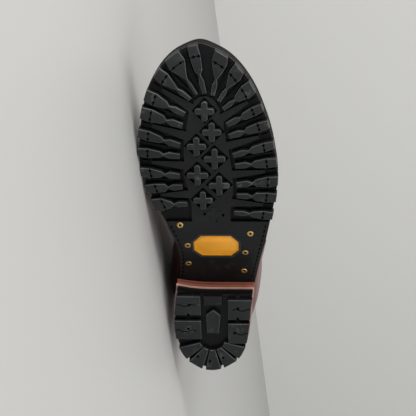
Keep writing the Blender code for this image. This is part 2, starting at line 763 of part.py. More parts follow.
class Last:
    """Outer surface of the upper, from toe to collar."""

    def __init__(self):
        steps = 24
        loop = inward(closed_curve(sole_points(), steps), feather_inset)
        tip = steps * (len(SOLE_EDGE) + 1)
        self.inner = loop[:tip + 1]
        self.outer = [loop[0]] + list(reversed(loop[tip:]))
        self.tip = loop[tip]
        self.rear = loop[0]
        foot = len(FOOT_SECTIONS)
        self.heel = float(foot - 1)
        rows = []
        for bottom, top, height, girth, ridge, widest, crown in FOOT_SECTIONS:
            top_y = top * SOLE_LENGTH
            rise = lift(max(top_y, WAIST_FRONT * SOLE_LENGTH))
            rows.append((bottom * SOLE_LENGTH, 0.0, top_y,
                         FEATHER_LEVEL + rise + height * INSTEP_RISE,
                         girth * BALL_WIDTH, ridge * BALL_WIDTH, widest, crown))
        seat = FEATHER_LEVEL + lift(0.0)
        ankle = FEATHER_LEVEL + FOOT_SECTIONS[-1][2] * INSTEP_RISE
        for back, back_rise, front, front_rise, girth in SHAFT_SECTIONS:
            rows.append((back * SOLE_LENGTH, seat + (SHAFT_TOP - seat) * back_rise,
                         front * SOLE_LENGTH, ankle + (SHAFT_TOP - ankle) * front_rise,
                         girth * BALL_WIDTH, 0.0, SHAFT_WIDEST, 1.0))
        rows[foot - 1] = (self.rear.y, FEATHER_LEVEL + lift(self.rear.y)) + rows[foot - 1][2:]
        rows[0] = (self.tip.y, 0.0, self.tip.y) + rows[0][3:]
        rows[0] = rows[0][:3] + (FEATHER_LEVEL + lift(self.tip.y),) + rows[0][4:]
        self.rows = rows
        self.columns = list(zip(*rows))
        self.end = float(len(rows) - 1)

    def feather(self, side, y):
        """Feather edge across at y."""
        points = self.inner if side > 0 else self.outer
        if y <= points[0].y:
            return points[0].x
        if y >= points[-1].y:
            return points[-1].x
        low, high = 0, len(points) - 1
        while high - low > 1:
            mid = (low + high) // 2
            if points[mid].y <= y:
                low = mid
            else:
                high = mid
        part = (y - points[low].y) / max(points[high].y - points[low].y, 1e-9)
        return points[low].x + (points[high].x - points[low].x) * part

    def column(self, index, s):
        return smooth_table(list(range(len(self.rows))), self.columns[index], s)

    def half_section(self, s, side, samples=40):
        """Half of a section from its bottom or back to its ridge."""
        foot = s <= self.heel
        back_y = self.column(0, s)
        if foot:
            back_y = min(max(back_y, self.rear.y), self.tip.y)
            back_z = FEATHER_LEVEL + lift(back_y)
            inner, outer = self.feather(1, back_y), self.feather(-1, back_y)
        else:
            part = min(s - self.heel, 1.0)
            back_z = self.column(1, s)
            centre_x = self.rear.x + (LEG_CENTRE * BALL_WIDTH - self.rear.x) * part
            inner = outer = centre_x
        centre = (inner + outer) / 2
        flat = (inner - outer) / 2
        front_y, front_z = self.column(2, s), self.column(3, s)
        if s < 8.0:
            front_y = back_y
        height = Vector((0.0, front_y - back_y, front_z - back_z))
        wide = math.hypot(flat, self.column(4, s))
        ridge, widest, crown = self.column(5, s), self.column(6, s), self.column(7, s)
        base = Vector((centre, back_y, back_z))
        points = []
        lower = samples // 2
        for k in range(samples + 1):
            if k < lower:
                angle = math.pi / 2 * k / lower
                x = flat + (wide - flat) * math.sin(angle)
                v = widest * (1 - math.cos(angle))
            else:
                angle = math.pi / 2 * (k - lower) / (samples - lower)
                x = wide * max(math.cos(angle), 0.0) ** crown
                v = widest + (1 - widest) * math.sin(angle)
            if k == samples:
                x = 0.0
            points.append(base + height * v + Vector((side * x + ridge * v ** 1.5, 0.0, 0.0)))
        return points

    def along(self, s, side):
        """Half section with the distance of each point from its bottom."""
        points = self.half_section(s, side)
        reach = [0.0]
        for before, after in zip(points, points[1:]):
            reach.append(reach[-1] + (after - before).length)
        return points, reach


def point_at(points, reach, share):
    wanted = share * reach[-1]
    index = min(max(bisect.bisect_left(reach, wanted), 1), len(reach) - 1)
    step = reach[index] - reach[index - 1]
    part = 0.0 if step < 1e-12 else (wanted - reach[index - 1]) / step
    return points[index - 1].lerp(points[index], min(part, 1.0))



def throat_share(length, distance):
    """Share of a half section at a distance from the ridge, less where the section is short."""
    if length < 3 * distance:
        return 1.0 - distance / (length + distance)
    return 1.0 - distance / length


def row_points(last, s):
    """Points across one section, inner bottom over the ridge to outer bottom."""
    halves = []
    for side in (1, -1):
        points, reach = last.along(s, side)
        length = max(reach[-1], 1e-9)
        stay_start = throat_share(length, THROAT_HALF_WIDTH + EYESTAY_WIDTH)
        throat = throat_share(length, THROAT_HALF_WIDTH)
        first = min(BACK_STAY_HALF_WIDTH / max(length, 0.05), 0.9 * stay_start / SIDE_COLUMNS * 1.6)
        shares = [0.0, first]
        shares += [first + (stay_start - first) * k / (SIDE_COLUMNS - 1)
                   for k in range(1, SIDE_COLUMNS)]
        shares += [stay_start + (throat - stay_start) * k / STAY_COLUMNS
                   for k in range(1, STAY_COLUMNS + 1)]
        shares += [throat + (1.0 - throat) * k / THROAT_COLUMNS
                   for k in range(1, THROAT_COLUMNS + 1)]
        halves.append([point_at(points, reach, share) for share in shares])
    return halves[0] + list(reversed(halves[1][:-1]))


class Skin:
    """Grid over the upper's surface, from which its layers are cut."""

    def __init__(self, last, stations):
        self.stations = stations
        self.grid = [row_points(last, s) for s in stations]
        self.width = len(self.grid[0])
        self.verts = []
        self.index = []
        known = {}
        for row in self.grid:
            line = []
            for point in row:
                key = tuple(round(value * 2e5) for value in point)
                if key not in known:
                    known[key] = len(self.verts)
                    self.verts.append(point)
                line.append(known[key])
            self.index.append(line)
        self.normals = self.vertex_normals()
        self.feather = set()
        for station, line in zip(stations, self.index):
            if station <= last.heel:
                for k in (line[0], line[-1]):
                    self.feather.add(k)
                    y = self.verts[k].y
                    slope = (lift(y + GAP) - lift(y - GAP)) / (2 * GAP)
                    self.normals[k].z = slope * self.normals[k].y
                    self.normals[k].normalize()

    def quad(self, i, j):
        corners = (self.index[i][j], self.index[i][j + 1],
                   self.index[i + 1][j + 1], self.index[i + 1][j])
        kept = []
        for corner in corners:
            if corner not in kept:
                kept.append(corner)
        return kept

    def vertex_normals(self):
        sums = [Vector() for _ in self.verts]
        for i in range(len(self.grid) - 1):
            for j in range(self.width - 1):
                quad = self.quad(i, j)
                if len(quad) < 3:
                    continue
                a, b, c = (self.verts[k] for k in quad[:3])
                normal = (b - a).cross(c - a)
                if len(quad) == 4:
                    d = self.verts[quad[3]]
                    normal += (c - a).cross(d - a)
                for k in quad:
                    sums[k] += normal
        return [total.normalized() for total in sums]

    def layer(self, wanted, low, high):
        """Closed solid over the wanted cells between two offsets from the surface."""
        bm = bmesh.new()
        mark = bm.verts.layers.float.new("feather")
        faces = []
        for i in range(len(self.grid) - 1):
            for j in range(self.width - 1):
                quad = self.quad(i, j)
                if len(quad) >= 3 and wanted(i, j):
                    faces.append(quad)
        used = sorted({k for quad in faces for k in quad})
        below = {k: bm.verts.new(self.verts[k] + self.normals[k] * low) for k in used}
        above = {k: bm.verts.new(self.verts[k] + self.normals[k] * high) for k in used}
        borders = {}
        for quad in faces:
            for triangle in [quad] if len(quad) == 3 else [quad[:3], quad[2:] + quad[:1]]:
                bm.faces.new([above[k] for k in triangle])
                bm.faces.new([below[k] for k in reversed(triangle)])
            for a, b in zip(quad, quad[1:] + quad[:1]):
                borders[(a, b)] = borders.get((a, b), 0) + 1
        for a, b in borders:
            if (b, a) not in borders:
                bm.faces.new((above[b], above[a], below[a], below[b]))
        for k in self.feather.intersection(used):
            above[k][mark] = below[k][mark] = 1.0
        return bm


def seat_on_sole(bm):
    """Let the lower edge of the upper follow the bent sole between its grid points."""
    mark = bm.verts.layers.float["feather"]
    for along in sole_stations():
        faces = [face for face in bm.faces if all(vert[mark] > 0.999 for vert in face.verts)]
        edges = list({edge for face in faces for edge in face.edges})
        verts = list({vert for face in faces for vert in face.verts})
        bmesh.ops.bisect_plane(bm, geom=faces + edges + verts, dist=1e-7,
                               plane_co=(0, along * SOLE_LENGTH, 0), plane_no=(0, 1, 0))
    for vert in bm.verts:
        if vert[mark] > 0.999:
            vert.co.z = FEATHER_LEVEL + lift(vert.co.y)



def make_upper(boot, last, leather):
    """Hollow upper, heel counter, eyestays, back stay and tongue."""
    stations = [float(s) for s in FOOT_STEPS]
    stations += [last.heel + k for k in range(1, int(last.end - last.heel) + 1)]
    skin = Skin(last, stations)
    side = SIDE_COLUMNS
    stay = side + STAY_COLUMNS
    width = skin.width - 1

    def mirrored(j):
        return j if j < width / 2 else width - 1 - j

    def row_in_throat(i):
        return stations[i] >= THROAT_START

    def in_throat(i, j):
        return row_in_throat(i) and mirrored(j) >= stay

    bm = skin.layer(lambda i, j: not in_throat(i, j), -WALL, 0.0)
    seat_on_sole(bm)
    add_object("upper", bm, leather, boot)
    for name, low, high in (("eyestay_inner", 0, width / 2), ("eyestay_outer", width / 2, width)):
        bm = skin.layer(lambda i, j, a=low, b=high: row_in_throat(i) and a <= j < b
                        and side <= mirrored(j) < stay, GAP, GAP + OVERLAY)
        add_object(name, bm, leather, boot)
    bm = skin.layer(lambda i, j: stations[i] >= THROAT_START - 1 and mirrored(j) >= side + 1,
                    -WALL - GAP - TONGUE_THICKNESS, -WALL - GAP)
    add_object("tongue", bm, leather, boot)
    shell = skin.layer(lambda i, j: 11 <= stations[i] <= last.heel + 4 and mirrored(j) < side,
                       GAP, GAP + OVERLAY)
    cutter = bmesh.new()
    reach = BALL_WIDTH
    outline = []
    for step in range(9):
        share = COUNTER_EDGE[-1][0] + (COUNTER_EDGE[0][0] - COUNTER_EDGE[-1][0]) * step / 8
        y = share * SOLE_LENGTH
        outline.append((y, FEATHER_LEVEL + lift(max(y, 0.0)) + COUNTER_FOOT))
    outline += [(y * SOLE_LENGTH, z * SHAFT_TOP) for y, z in COUNTER_EDGE]
    layers = [[cutter.verts.new((x, y, z)) for y, z in outline] for x in (-reach, reach)]
    for k in range(len(outline)):
        after = (k + 1) % len(outline)
        cutter.faces.new((layers[0][k], layers[0][after], layers[1][after], layers[1][k]))
    cutter.faces.new(layers[0])
    cutter.faces.new(layers[1])
    add_object("heel_counter", combine(shell, cutter, "INTERSECT"), leather, boot)
    bm = skin.layer(lambda i, j: stations[i] >= last.heel + 3 and mirrored(j) < 1,
                    GAP, GAP + OVERLAY)
    add_object("back_stay", bm, leather, boot)
    quads = [skin.quad(i, j) for i in range(len(stations) - 1) for j in range(width)
             if row_in_throat(i) and side - 1 <= mirrored(j) < stay]
    raised = [v + n * (GAP + OVERLAY) for v, n in zip(skin.verts, skin.normals)]
    return BVHTree.FromPolygons(raised, quads)


def surface_frame(last, s, side, distance):
    """Point at a distance from the ridge, with its outward normal and the way to the collar."""
    def place(station, away):
        points, reach = last.along(station, side)
        return point_at(points, reach, 1.0 - away / reach[-1])

    step = 0.05
    nudge = 0.002
    point = place(s, distance)
    upwards = (place(min(s + step, last.end), distance) - place(s - step, distance)).normalized()
    across = (place(s, max(distance - nudge, 0.0)) - place(s, distance + nudge)) * side
    return point, across.cross(upwards).normalized(), upwards


def seat_height(tree, point, normal, spots=(Vector(),)):
    """Highest place of a faceted surface under some spots round a point, along the normal."""
    start = 0.01
    heights = [0.0]
    for spot in spots:
        hit = tree.ray_cast(point + spot + normal * start, -normal, 3 * start)
        if hit[0] is not None:
            heights.append(start - hit[3])
    return max(heights)


def around(normal, upwards, reach):
    """Nine spots of a square in the tangent plane."""
    side = upwards.cross(normal).normalized()
    along = normal.cross(side).normalized()
    return [(along * a + side * b) * reach for a in (-1, 0, 1) for b in (-1, 0, 1)]


def fitting_stations(last):
    """Places of the eyelet and hook pairs along the throat, evenly spaced in length."""
    samples = [THROAT_START + (last.end - THROAT_START) * k / 120 for k in range(121)]
    distance = THROAT_HALF_WIDTH + EYESTAY_WIDTH / 2
    points = [surface_frame(last, s, 1, distance)[0] for s in samples]
    reach = [0.0]
    for before, after in zip(points, points[1:]):
        reach.append(reach[-1] + (after - before).length)
    pairs = EYELET_PAIRS + HOOK_PAIRS
    places = []
    for k in range(pairs):
        wanted = END_MARGIN + (reach[-1] - 2 * END_MARGIN) * k / (pairs - 1)
        index = min(max(bisect.bisect_left(reach, wanted), 1), len(reach) - 1)
        part = (wanted - reach[index - 1]) / (reach[index] - reach[index - 1])
        places.append(samples[index - 1] + (samples[index] - samples[index - 1]) * part)
    return places


def stand_on(bm, tree, frame, reach):
    """Seat a fitting modelled at the origin on the faceted eyestay."""
    point, normal, upwards = frame
    side = upwards.cross(normal).normalized()
    along = normal.cross(side).normalized()
    spots = around(normal, upwards, reach)
    raised = point + normal * (seat_height(tree, point, normal, spots) + GAP)
    bm.transform(Matrix.Translation(raised) @ Matrix((along, -side, normal)).transposed().to_4x4())


def make_eyelet(name, tree, frame, boot, finish):
    """Washer-like eyelet on the eyestay."""
    bm = bmesh.new()
    origin = Vector((0.0, 0.0))
    ring_prism(bm, circle(origin, EYELET_RADIUS), circle(origin, EYELET_HOLE),
               0.0, EYELET_HEIGHT)
    stand_on(bm, tree, frame, EYELET_RADIUS)
    add_object(name, bm, finish, boot)


def make_hook(name, tree, frame, side, boot, finish):
    """Speed hook: a strip bent back over itself, open away from the throat."""
    bm = bmesh.new()
    ends = []
    for along in (-HOOK_WIDTH / 2, HOOK_WIDTH / 2):
        ends.append([bm.verts.new((along, x * HOOK_LENGTH * side, z * HOOK_HEIGHT))
                     for x, z in HOOK_PROFILE])
    count = len(HOOK_PROFILE)
    for k in range(count):
        after = (k + 1) % count
        bm.faces.new((ends[0][k], ends[0][after], ends[1][after], ends[1][k]))
    bm.faces.new(ends[0])
    bm.faces.new(list(reversed(ends[1])))
    stand_on(bm, tree, frame, HOOK_LENGTH / 2)
    add_object(name, bm, finish, boot)


def make_fittings(boot, last, tree, brass):
    """Pairs of eyelets below, pairs of hooks above."""
    distance = THROAT_HALF_WIDTH + EYESTAY_WIDTH * FITTING_SHARE
    for number, s in enumerate(fitting_stations(last), 1):
        for side, word in ((1, "inner"), (-1, "outer")):
            frame = surface_frame(last, s, side, distance)
            if number <= EYELET_PAIRS:
                make_eyelet(f"eyelet_{word}_{number}", tree, frame, boot, brass)
            else:
                make_hook(f"hook_{word}_{number - EYELET_PAIRS}", tree, frame, side, boot, brass)


def lace_patches(last):
    """Crossed lace over the throat: four-cornered patches of places on the upper."""
    places = fitting_stations(last)
    node_distance = (THROAT_HALF_WIDTH + EYESTAY_WIDTH * FITTING_SHARE - EYELET_RADIUS
                     - LACE_CLEAR * LACE_WIDTH)
    half = LACE_WIDTH / 2
    over_edge = 1 - (THROAT_HALF_WIDTH - LACE_WIDTH * 0.1) / node_distance

    def mix(first, second, share):
        return tuple(a + (b - a) * share for a, b in zip(first, second))

    patches = []
    bar = half * 0.8
    nodes = []
    for k, s in enumerate(places):
        near = places[min(k + 1, len(places) - 1)] - places[max(k - 1, 0)]
        lean = half * near / (2 * LACE_PITCH) * (1 if 0 < k < len(places) - 1 else 2)
        nodes.append({side: [[(s + way * lean, side * (node_distance + bar)),
                              (s + way * lean, side * (node_distance - bar))] for way in (-1, 1)]
                      for side in (1, -1)})
        for side in (1, -1):
            low_edge, high_edge = nodes[-1][side]
            patches.append(low_edge + high_edge[::-1])
    for k, (before, after) in enumerate(zip(places, places[1:])):
        middle = (before + after) / 2
        lean = half * (after - before) / LACE_PITCH
        up, down = (middle + lean, 0.0), (middle - lean, 0.0)
        for side in (1, -1):
            sideways = (middle, side * half * 1.3)
            for near, node in ((down, nodes[k][side][1]), (up, nodes[k + 1][side][0])):
                bends = [mix(end, start, over_edge) for end, start in zip(node, (sideways, near))]
                patches.append([near, sideways] + bends)
                patches.append(bends[::-1] + node)
        patches.append([up, (middle, half * 1.3), down, (middle, -half * 1.3)])
    return patches


def weigh_and_lay(boot):
    """Rotation and place of the boot at rest on its inner side."""
    cloud = bmesh.new()
    moment = Vector()
    mass = 0.0
    for made in bpy.data.objects:
        if made.type != "MESH":
            continue
        bm = bmesh.new()
        bm.from_mesh(made.data)
        bmesh.ops.triangulate(bm, faces=bm.faces)
        weight = DENSITY.get(made.data.materials[0].name, 1000.0)
        for face in bm.faces:
            a, b, c = (v.co for v in face.verts)
            volume = a.dot(b.cross(c)) / 6
            mass += volume * weight
            moment += (a + b + c) / 4 * volume * weight
        for vert in bm.verts:
            cloud.verts.new(vert.co)
        bm.free()
    centre = moment / mass
    hull = bmesh.ops.convex_hull(cloud, input=cloud.verts)
    best = None
    for item in hull["geom"]:
        if not isinstance(item, bmesh.types.BMFace) or item.normal.x < 0.8:
            continue
        a, b, c = (v.co for v in item.verts[:3])
        inside = min(((q - p).cross(centre - p)).dot(item.normal)
                     for p, q in ((a, b), (b, c), (c, a)))
        if best is None or inside > best[0]:
            best = (inside, item.normal.copy())
    cloud.free()
    down = best[1]
    shaft = (Vector((0, 0, 1)) - down * down.z).normalized()
    turn = Matrix((shaft.cross(-down), shaft, -down)).to_4x4()
    boot.matrix_world = turn
    bpy.context.view_layer.update()
    corners = [turn @ v.co for made in bpy.data.objects if made.type == "MESH"
               for v in made.data.vertices]
    low = Vector(min(p[k] for p in corners) for k in range(3))
    high = Vector(max(p[k] for p in corners) for k in range(3))
    middle = (low + high) / 2
    boot.matrix_world = Matrix.Translation((-middle.x, -middle.y, -low.z)) @ turn
    bpy.context.view_layer.update()



def make_lace(boot, last, tree, finish):
    """One joined solid of the lace's crossings, just over the eyestays."""
    bm = bmesh.new()
    known = {}
    patches = lace_patches(last)
    clear = GAP + OVERLAY + 2 * GAP

    def corner(place, level):
        key = (round(place[0], 5), round(place[1], 6), level)
        if key not in known:
            side = 1 if place[1] >= 0 else -1
            point, normal, upwards = surface_frame(last, place[0], side, abs(place[1]))
            spots = around(normal, upwards, LACE_WIDTH / 2)
            raised = max(seat_height(tree, point, normal, spots) + 2 * GAP, clear)
            known[key] = bm.verts.new(point + normal * (raised + LACE_THICKNESS * level))
        return known[key]

    borders = {}
    for patch in patches:
        for level in (0, 1):
            bm.faces.new([corner(place, level) for place in patch])
        for a, b in zip(patch, patch[1:] + patch[:1]):
            key = tuple(sorted((round(s, 5), round(away, 6)) for s, away in (a, b)))
            borders.setdefault(key, []).append((a, b))
    for pairs in borders.values():
        if len(pairs) == 1:
            a, b = pairs[0]
            bm.faces.new((corner(a, 0), corner(b, 0), corner(b, 1), corner(a, 1)))
    add_object("lace", bm, finish, boot)


def make_insole(boot, finish):
    """Insole board on the welt, inside the upper."""
    def inset(point):
        return feather_inset(point) + WALL + 3 * GAP

    bm = bmesh.new()
    loop = sole_loop(inset, 1)
    low = WELT_TOP + GAP
    prism(bm, [(loop, low), (loop, low + INSOLE_THICKNESS)])
    bend(bm)
    add_object("insole", bm, finish, boot)


def clear_scene():
    """Remove what the scene holds."""
    for made in list(bpy.data.objects):
        bpy.data.objects.remove(made)


def main():
    clear_scene()
    boot = bpy.data.objects.new("boot_frame", None)
    bpy.context.collection.objects.link(boot)
    rubber = material("rubber", (0.035, 0.036, 0.037), 0.55)
    sole_leather = material("sole_leather", (0.36, 0.13, 0.07), 0.6)
    upper_leather = material("upper_leather", (0.19, 0.045, 0.022), 0.45)
    brass = material("brass", (0.60, 0.42, 0.16), 0.35, 1.0)
    yellow = material("badge_yellow", (0.80, 0.38, 0.02), 0.4)
    cord = material("lace_cord", (0.16, 0.02, 0.015), 0.8)
    make_outsole(boot, rubber)
    make_badge(boot, yellow)
    make_nails(boot, brass)
    make_midsole(boot, sole_leather)
    make_welt(boot, sole_leather)
    make_heel(boot, rubber, sole_leather)
    make_insole(boot, sole_leather)
    last = Last()
    stays = make_upper(boot, last, upper_leather)
    make_fittings(boot, last, stays, brass)
    make_lace(boot, last, stays, cord)
    weigh_and_lay(boot)


main()
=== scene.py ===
"""Visual model of a linesman boot for the left foot, lying on its inner side.

Laid out as an add-on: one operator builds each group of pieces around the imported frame.
Shapes are worked out in the boot's own standing frame, in metres: heel rear at the origin,
+Y to the toe, +X to the inner side and +Z up. STANDING turns them to the frame of the row.
"""
import bisect
import math

import bmesh
import bpy
from mathutils import Matrix, Vector
from mathutils.bvhtree import BVHTree


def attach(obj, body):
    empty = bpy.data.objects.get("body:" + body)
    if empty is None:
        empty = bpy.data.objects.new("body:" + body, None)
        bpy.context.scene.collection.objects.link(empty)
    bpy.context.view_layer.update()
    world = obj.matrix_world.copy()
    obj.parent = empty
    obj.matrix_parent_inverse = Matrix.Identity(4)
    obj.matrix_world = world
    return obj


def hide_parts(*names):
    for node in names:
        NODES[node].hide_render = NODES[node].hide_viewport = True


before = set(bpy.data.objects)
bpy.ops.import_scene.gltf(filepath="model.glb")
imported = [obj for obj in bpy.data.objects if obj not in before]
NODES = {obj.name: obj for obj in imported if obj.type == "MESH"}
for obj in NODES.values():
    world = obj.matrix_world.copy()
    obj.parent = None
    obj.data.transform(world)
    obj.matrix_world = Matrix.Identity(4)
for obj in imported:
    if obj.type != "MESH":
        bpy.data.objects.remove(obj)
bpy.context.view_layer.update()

bl_info = {
    "name": "Linesman Boot",
    "version": (1, 0, 0),
    "blender": (4, 5, 0),
    "location": "View3D > Sidebar > Boot",
    "description": "Builds a tall lace-up work boot with a lugged rubber sole",
    "category": "Add Mesh",
}

# The boot's standing frame in the frame of the row
STANDING = Matrix((
    (-0.107706, -0.994183, 1e-06, 0.15016),
    (0.04006, -0.004339, 0.999188, -0.224346),
    (-0.993375, 0.107619, 0.040295, 0.037416),
    (0.0, 0.0, 0.0, 1.0),
))

SOLE_LENGTH = 0.305
BALL_WIDTH = 0.118
GAP = 0.0003
# Bent shape of the sole: toe spring, waist and heel seat
TOE_SPRING = 0.020
SEAT_RISE = 0.0245
SEAT_PITCH = 0.13
SPRING_START = 0.682
WAIST_FRONT = 0.492
WAIST_BACK = 0.243
# Layers of the sole, from the ground up
LUG_DEPTH = 0.008
PLATEAU_DEPTH = 0.0042
OUTSOLE_BASE = 0.004
MIDSOLE_THICKNESS = 0.005
WELT_THICKNESS = 0.004
WELT_WIDTH = 0.015
EDGE_STEP = 0.0008
LUG_ROOT = 0.001
# Heel block
TOP_PIECE_THICKNESS = 0.014
HEEL_LUG_DEPTH = 0.005
LIFT_THICKNESS = 0.005
BREAST_ALONG = 0.268
BREAST_SWEEP = 0.005
HEEL_TAPER = 0.0022
LIFT_TAPERS = (0.85, 0.65, 0.4)
# Upper
WALL = 0.0024
INSTEP_RISE = 0.0937
SHAFT_TOP = 0.450
OVERLAY = 0.0015
TONGUE_THICKNESS = 0.0022
THROAT_HALF_WIDTH = 0.014
EYESTAY_WIDTH = 0.019
# Fittings
EYELET_RADIUS = 0.0044
EYELET_HOLE = 0.0023
HOOK_WIDTH = 0.007
HOOK_HEIGHT = 0.0052
LACE_WIDTH = 0.0042
LACE_THICKNESS = 0.0018
END_MARGIN = 0.011
# Side view of a hook: across, as a share of its length, and up, as a share of its height
HOOK_LENGTH = 0.0086
HOOK_PROFILE = ((-0.47, 0.0), (0.45, 0.0), (0.55, 0.30), (0.53, 0.68), (0.35, 0.87),
                (-0.26, 0.87), (-0.53, 1.0), (-0.56, 0.84), (-0.26, 0.70), (0.28, 0.70),
                (0.38, 0.56), (0.40, 0.38), (0.34, 0.17), (-0.47, 0.17))
FITTING_SHARE = 0.55
EYELET_PAIRS = 8
HOOK_PAIRS = 8
NAIL_RADIUS = 0.0028
NAIL_HOLE = 0.0012
NAIL_DEPTH = 0.0015
BADGE_LENGTH = 0.0803 * SOLE_LENGTH
BADGE_WIDTH = 0.343 * BALL_WIDTH
BADGE_THICKNESS = 0.001
# Sole edge: along the sole as a share of its length, then the inner and outer edge as shares of
# the ball width
SOLE_EDGE = (
    (0.012, 0.144, -0.080),
    (0.046, 0.250, -0.199),
    (0.098, 0.312, -0.261),
    (0.164, 0.331, -0.288),
    (0.236, 0.318, -0.305),
    (0.302, 0.286, -0.335),
    (0.367, 0.266, -0.364),
    (0.426, 0.284, -0.398),
    (0.485, 0.338, -0.428),
    (0.538, 0.402, -0.456),
    (0.590, 0.454, -0.478),
    (0.649, 0.498, -0.486),
    (0.708, 0.514, -0.468),
    (0.767, 0.504, -0.438),
    (0.826, 0.480, -0.388),
    (0.879, 0.440, -0.328),
    (0.925, 0.375, -0.250),
    (0.961, 0.295, -0.159),
    (0.985, 0.199, -0.055),
)
TOE_TIP = (0.068, 1.0)
HEEL_REAR = (0.034, 0.0)
# Lugs of the forepart: side, place along the edge from the toe tip, width at the edge, width
# before the neck, width of the inner leaf, inner end across and along. Edge places are shares
# of the forepart's edge, widths and the end across are shares of the ball width.
LUGS = (
    (1, 0.027, 0.083, 0.056, 0.038, 0.027, 0.876),
    (1, 0.130, 0.133, 0.034, 0.024, 0.081, 0.873),
    (1, 0.228, 0.089, 0.036, 0.034, 0.126, 0.860),
    (1, 0.338, 0.093, 0.052, 0.042, 0.169, 0.821),
    (1, 0.419, 0.096, 0.062, 0.048, 0.186, 0.790),
    (1, 0.513, 0.077, 0.050, 0.046, 0.208, 0.735),
    (1, 0.603, 0.073, 0.046, 0.048, 0.213, 0.704),
    (1, 0.702, 0.081, 0.048, 0.050, 0.219, 0.645),
    (1, 0.788, 0.075, 0.062, 0.048, 0.203, 0.613),
    (1, 0.875, 0.108, 0.049, 0.042, 0.172, 0.560),
    (-1, 0.111, 0.117, 0.045, 0.036, -0.030, 0.871),
    (-1, 0.213, 0.102, 0.034, 0.031, -0.072, 0.855),
    (-1, 0.310, 0.104, 0.050, 0.032, -0.102, 0.834),
    (-1, 0.410, 0.068, 0.052, 0.042, -0.127, 0.792),
    (-1, 0.490, 0.070, 0.052, 0.044, -0.141, 0.760),
    (-1, 0.588, 0.070, 0.053, 0.042, -0.166, 0.706),
    (-1, 0.672, 0.077, 0.054, 0.046, -0.180, 0.675),
    (-1, 0.764, 0.085, 0.055, 0.047, -0.189, 0.619),
    (-1, 0.849, 0.081, 0.060, 0.044, -0.187, 0.586),
    (-1, 0.942, 0.072, 0.044, 0.038, -0.167, 0.534),
)
LUG_NECK = 0.0008
TONGUE_AFTER = (2, 4, 6, 8)
TONGUE_ROOT = 0.0034
TONGUE_TIP = 0.0013
TONGUE_REACH = 0.70
END_GROOVE = 0.0032
# Rear end of the raised middle and front end of the smooth waist, as shares of the sole length
MIDDLE_BACK = 0.505
WAIST_END = 0.502
MIDDLE_OVERLAP = 0.004
LUG_CORNER = 0.0009
# Crosses of the tread: across and along, and the reach of an arm as a share of the ball width
CROSSES = (
    (0.030, 0.828, 0.068),
    (-0.019, 0.771, 0.068),
    (0.092, 0.731, 0.068),
    (-0.035, 0.695, 0.077),
    (0.091, 0.647, 0.077),
    (-0.063, 0.616, 0.075),
    (0.057, 0.571, 0.070),
)
CROSS_ARM = 0.0025
CROSS_CHAMFER = 0.0013
DIAMOND_MARGIN = 0.0028
# Side blocks of the heel: side, inner end across, back and front along, as shares
HEEL_BLOCKS = (
    (1, 0.104, 0.201, 0.264),
    (1, 0.104, 0.118, 0.181),
    (-1, -0.107, 0.186, 0.252),
    (-1, -0.104, 0.104, 0.172),
)
HEEL_LEAF = ((0.0085, 0.2185), (0.063, 0.201), (0.058, 0.139), (-0.031, 0.139), (-0.048, 0.201))
# Fan of blocks at the heel's rear: its centre, its sweep in degrees, blocks, half a slit in
# radians, and its inner radius as a share of the ball width
FAN_CENTRE = (0.023, 0.117)
FAN_SWEEP = (192.0, 346.0)
FAN_BLOCKS = 5
FAN_SLIT = 0.05
FAN_HUB = 0.0975
# Hollow nails of the waist: across and along
NAILS = (
    (0.236, 0.490),
    (0.189, 0.418),
    (0.196, 0.343),
    (-0.282, 0.462),
    (-0.241, 0.390),
    (-0.227, 0.312),
)
BADGE_CENTRE = (-0.025, 0.416)
# Upper over the foot: bottom of the section along the sole, top of the section along the sole,
# top's height over the feather as a share of the instep rise, girth beyond the feather and
# shift of the ridge to the inner side as shares of the ball width, height of the widest place
# as a share of the section, crown power
FOOT_SECTIONS = (
    (0.972, 0.972, 0.000, 0.000, 0.000, 0.34, 0.85),
    (0.9675, 0.9675, 0.150, 0.030, 0.000, 0.34, 0.85),
    (0.956, 0.956, 0.245, 0.055, 0.002, 0.34, 0.85),
    (0.938, 0.938, 0.325, 0.075, 0.006, 0.34, 0.86),
    (0.915, 0.915, 0.385, 0.090, 0.010, 0.34, 0.88),
    (0.885, 0.885, 0.432, 0.100, 0.014, 0.33, 0.90),
    (0.846, 0.846, 0.470, 0.110, 0.018, 0.32, 0.93),
    (0.793, 0.793, 0.502, 0.115, 0.022, 0.31, 0.96),
    (0.738, 0.738, 0.540, 0.120, 0.026, 0.30, 1.00),
    (0.675, 0.679, 0.612, 0.130, 0.030, 0.29, 1.06),
    (0.613, 0.626, 0.724, 0.150, 0.032, 0.28, 1.12),
    (0.544, 0.577, 0.858, 0.180, 0.032, 0.28, 1.16),
    (0.479, 0.528, 1.000, 0.210, 0.030, 0.29, 1.16),
    (0.407, 0.482, 1.150, 0.222, 0.026, 0.31, 1.14),
    (0.328, 0.443, 1.310, 0.222, 0.020, 0.34, 1.10),
    (0.249, 0.410, 1.480, 0.222, 0.014, 0.38, 1.06),
    (0.170, 0.384, 1.670, 0.236, 0.008, 0.42, 1.03),
    (0.111, 0.366, 1.855, 0.262, 0.004, 0.45, 1.01),
    (0.062, 0.354, 2.030, 0.290, 0.000, 0.47, 1.00),
    (0.030, 0.346, 2.180, 0.312, 0.000, 0.48, 1.00),
    (0.0145, 0.341, 2.320, 0.326, 0.000, 0.49, 1.00),
)
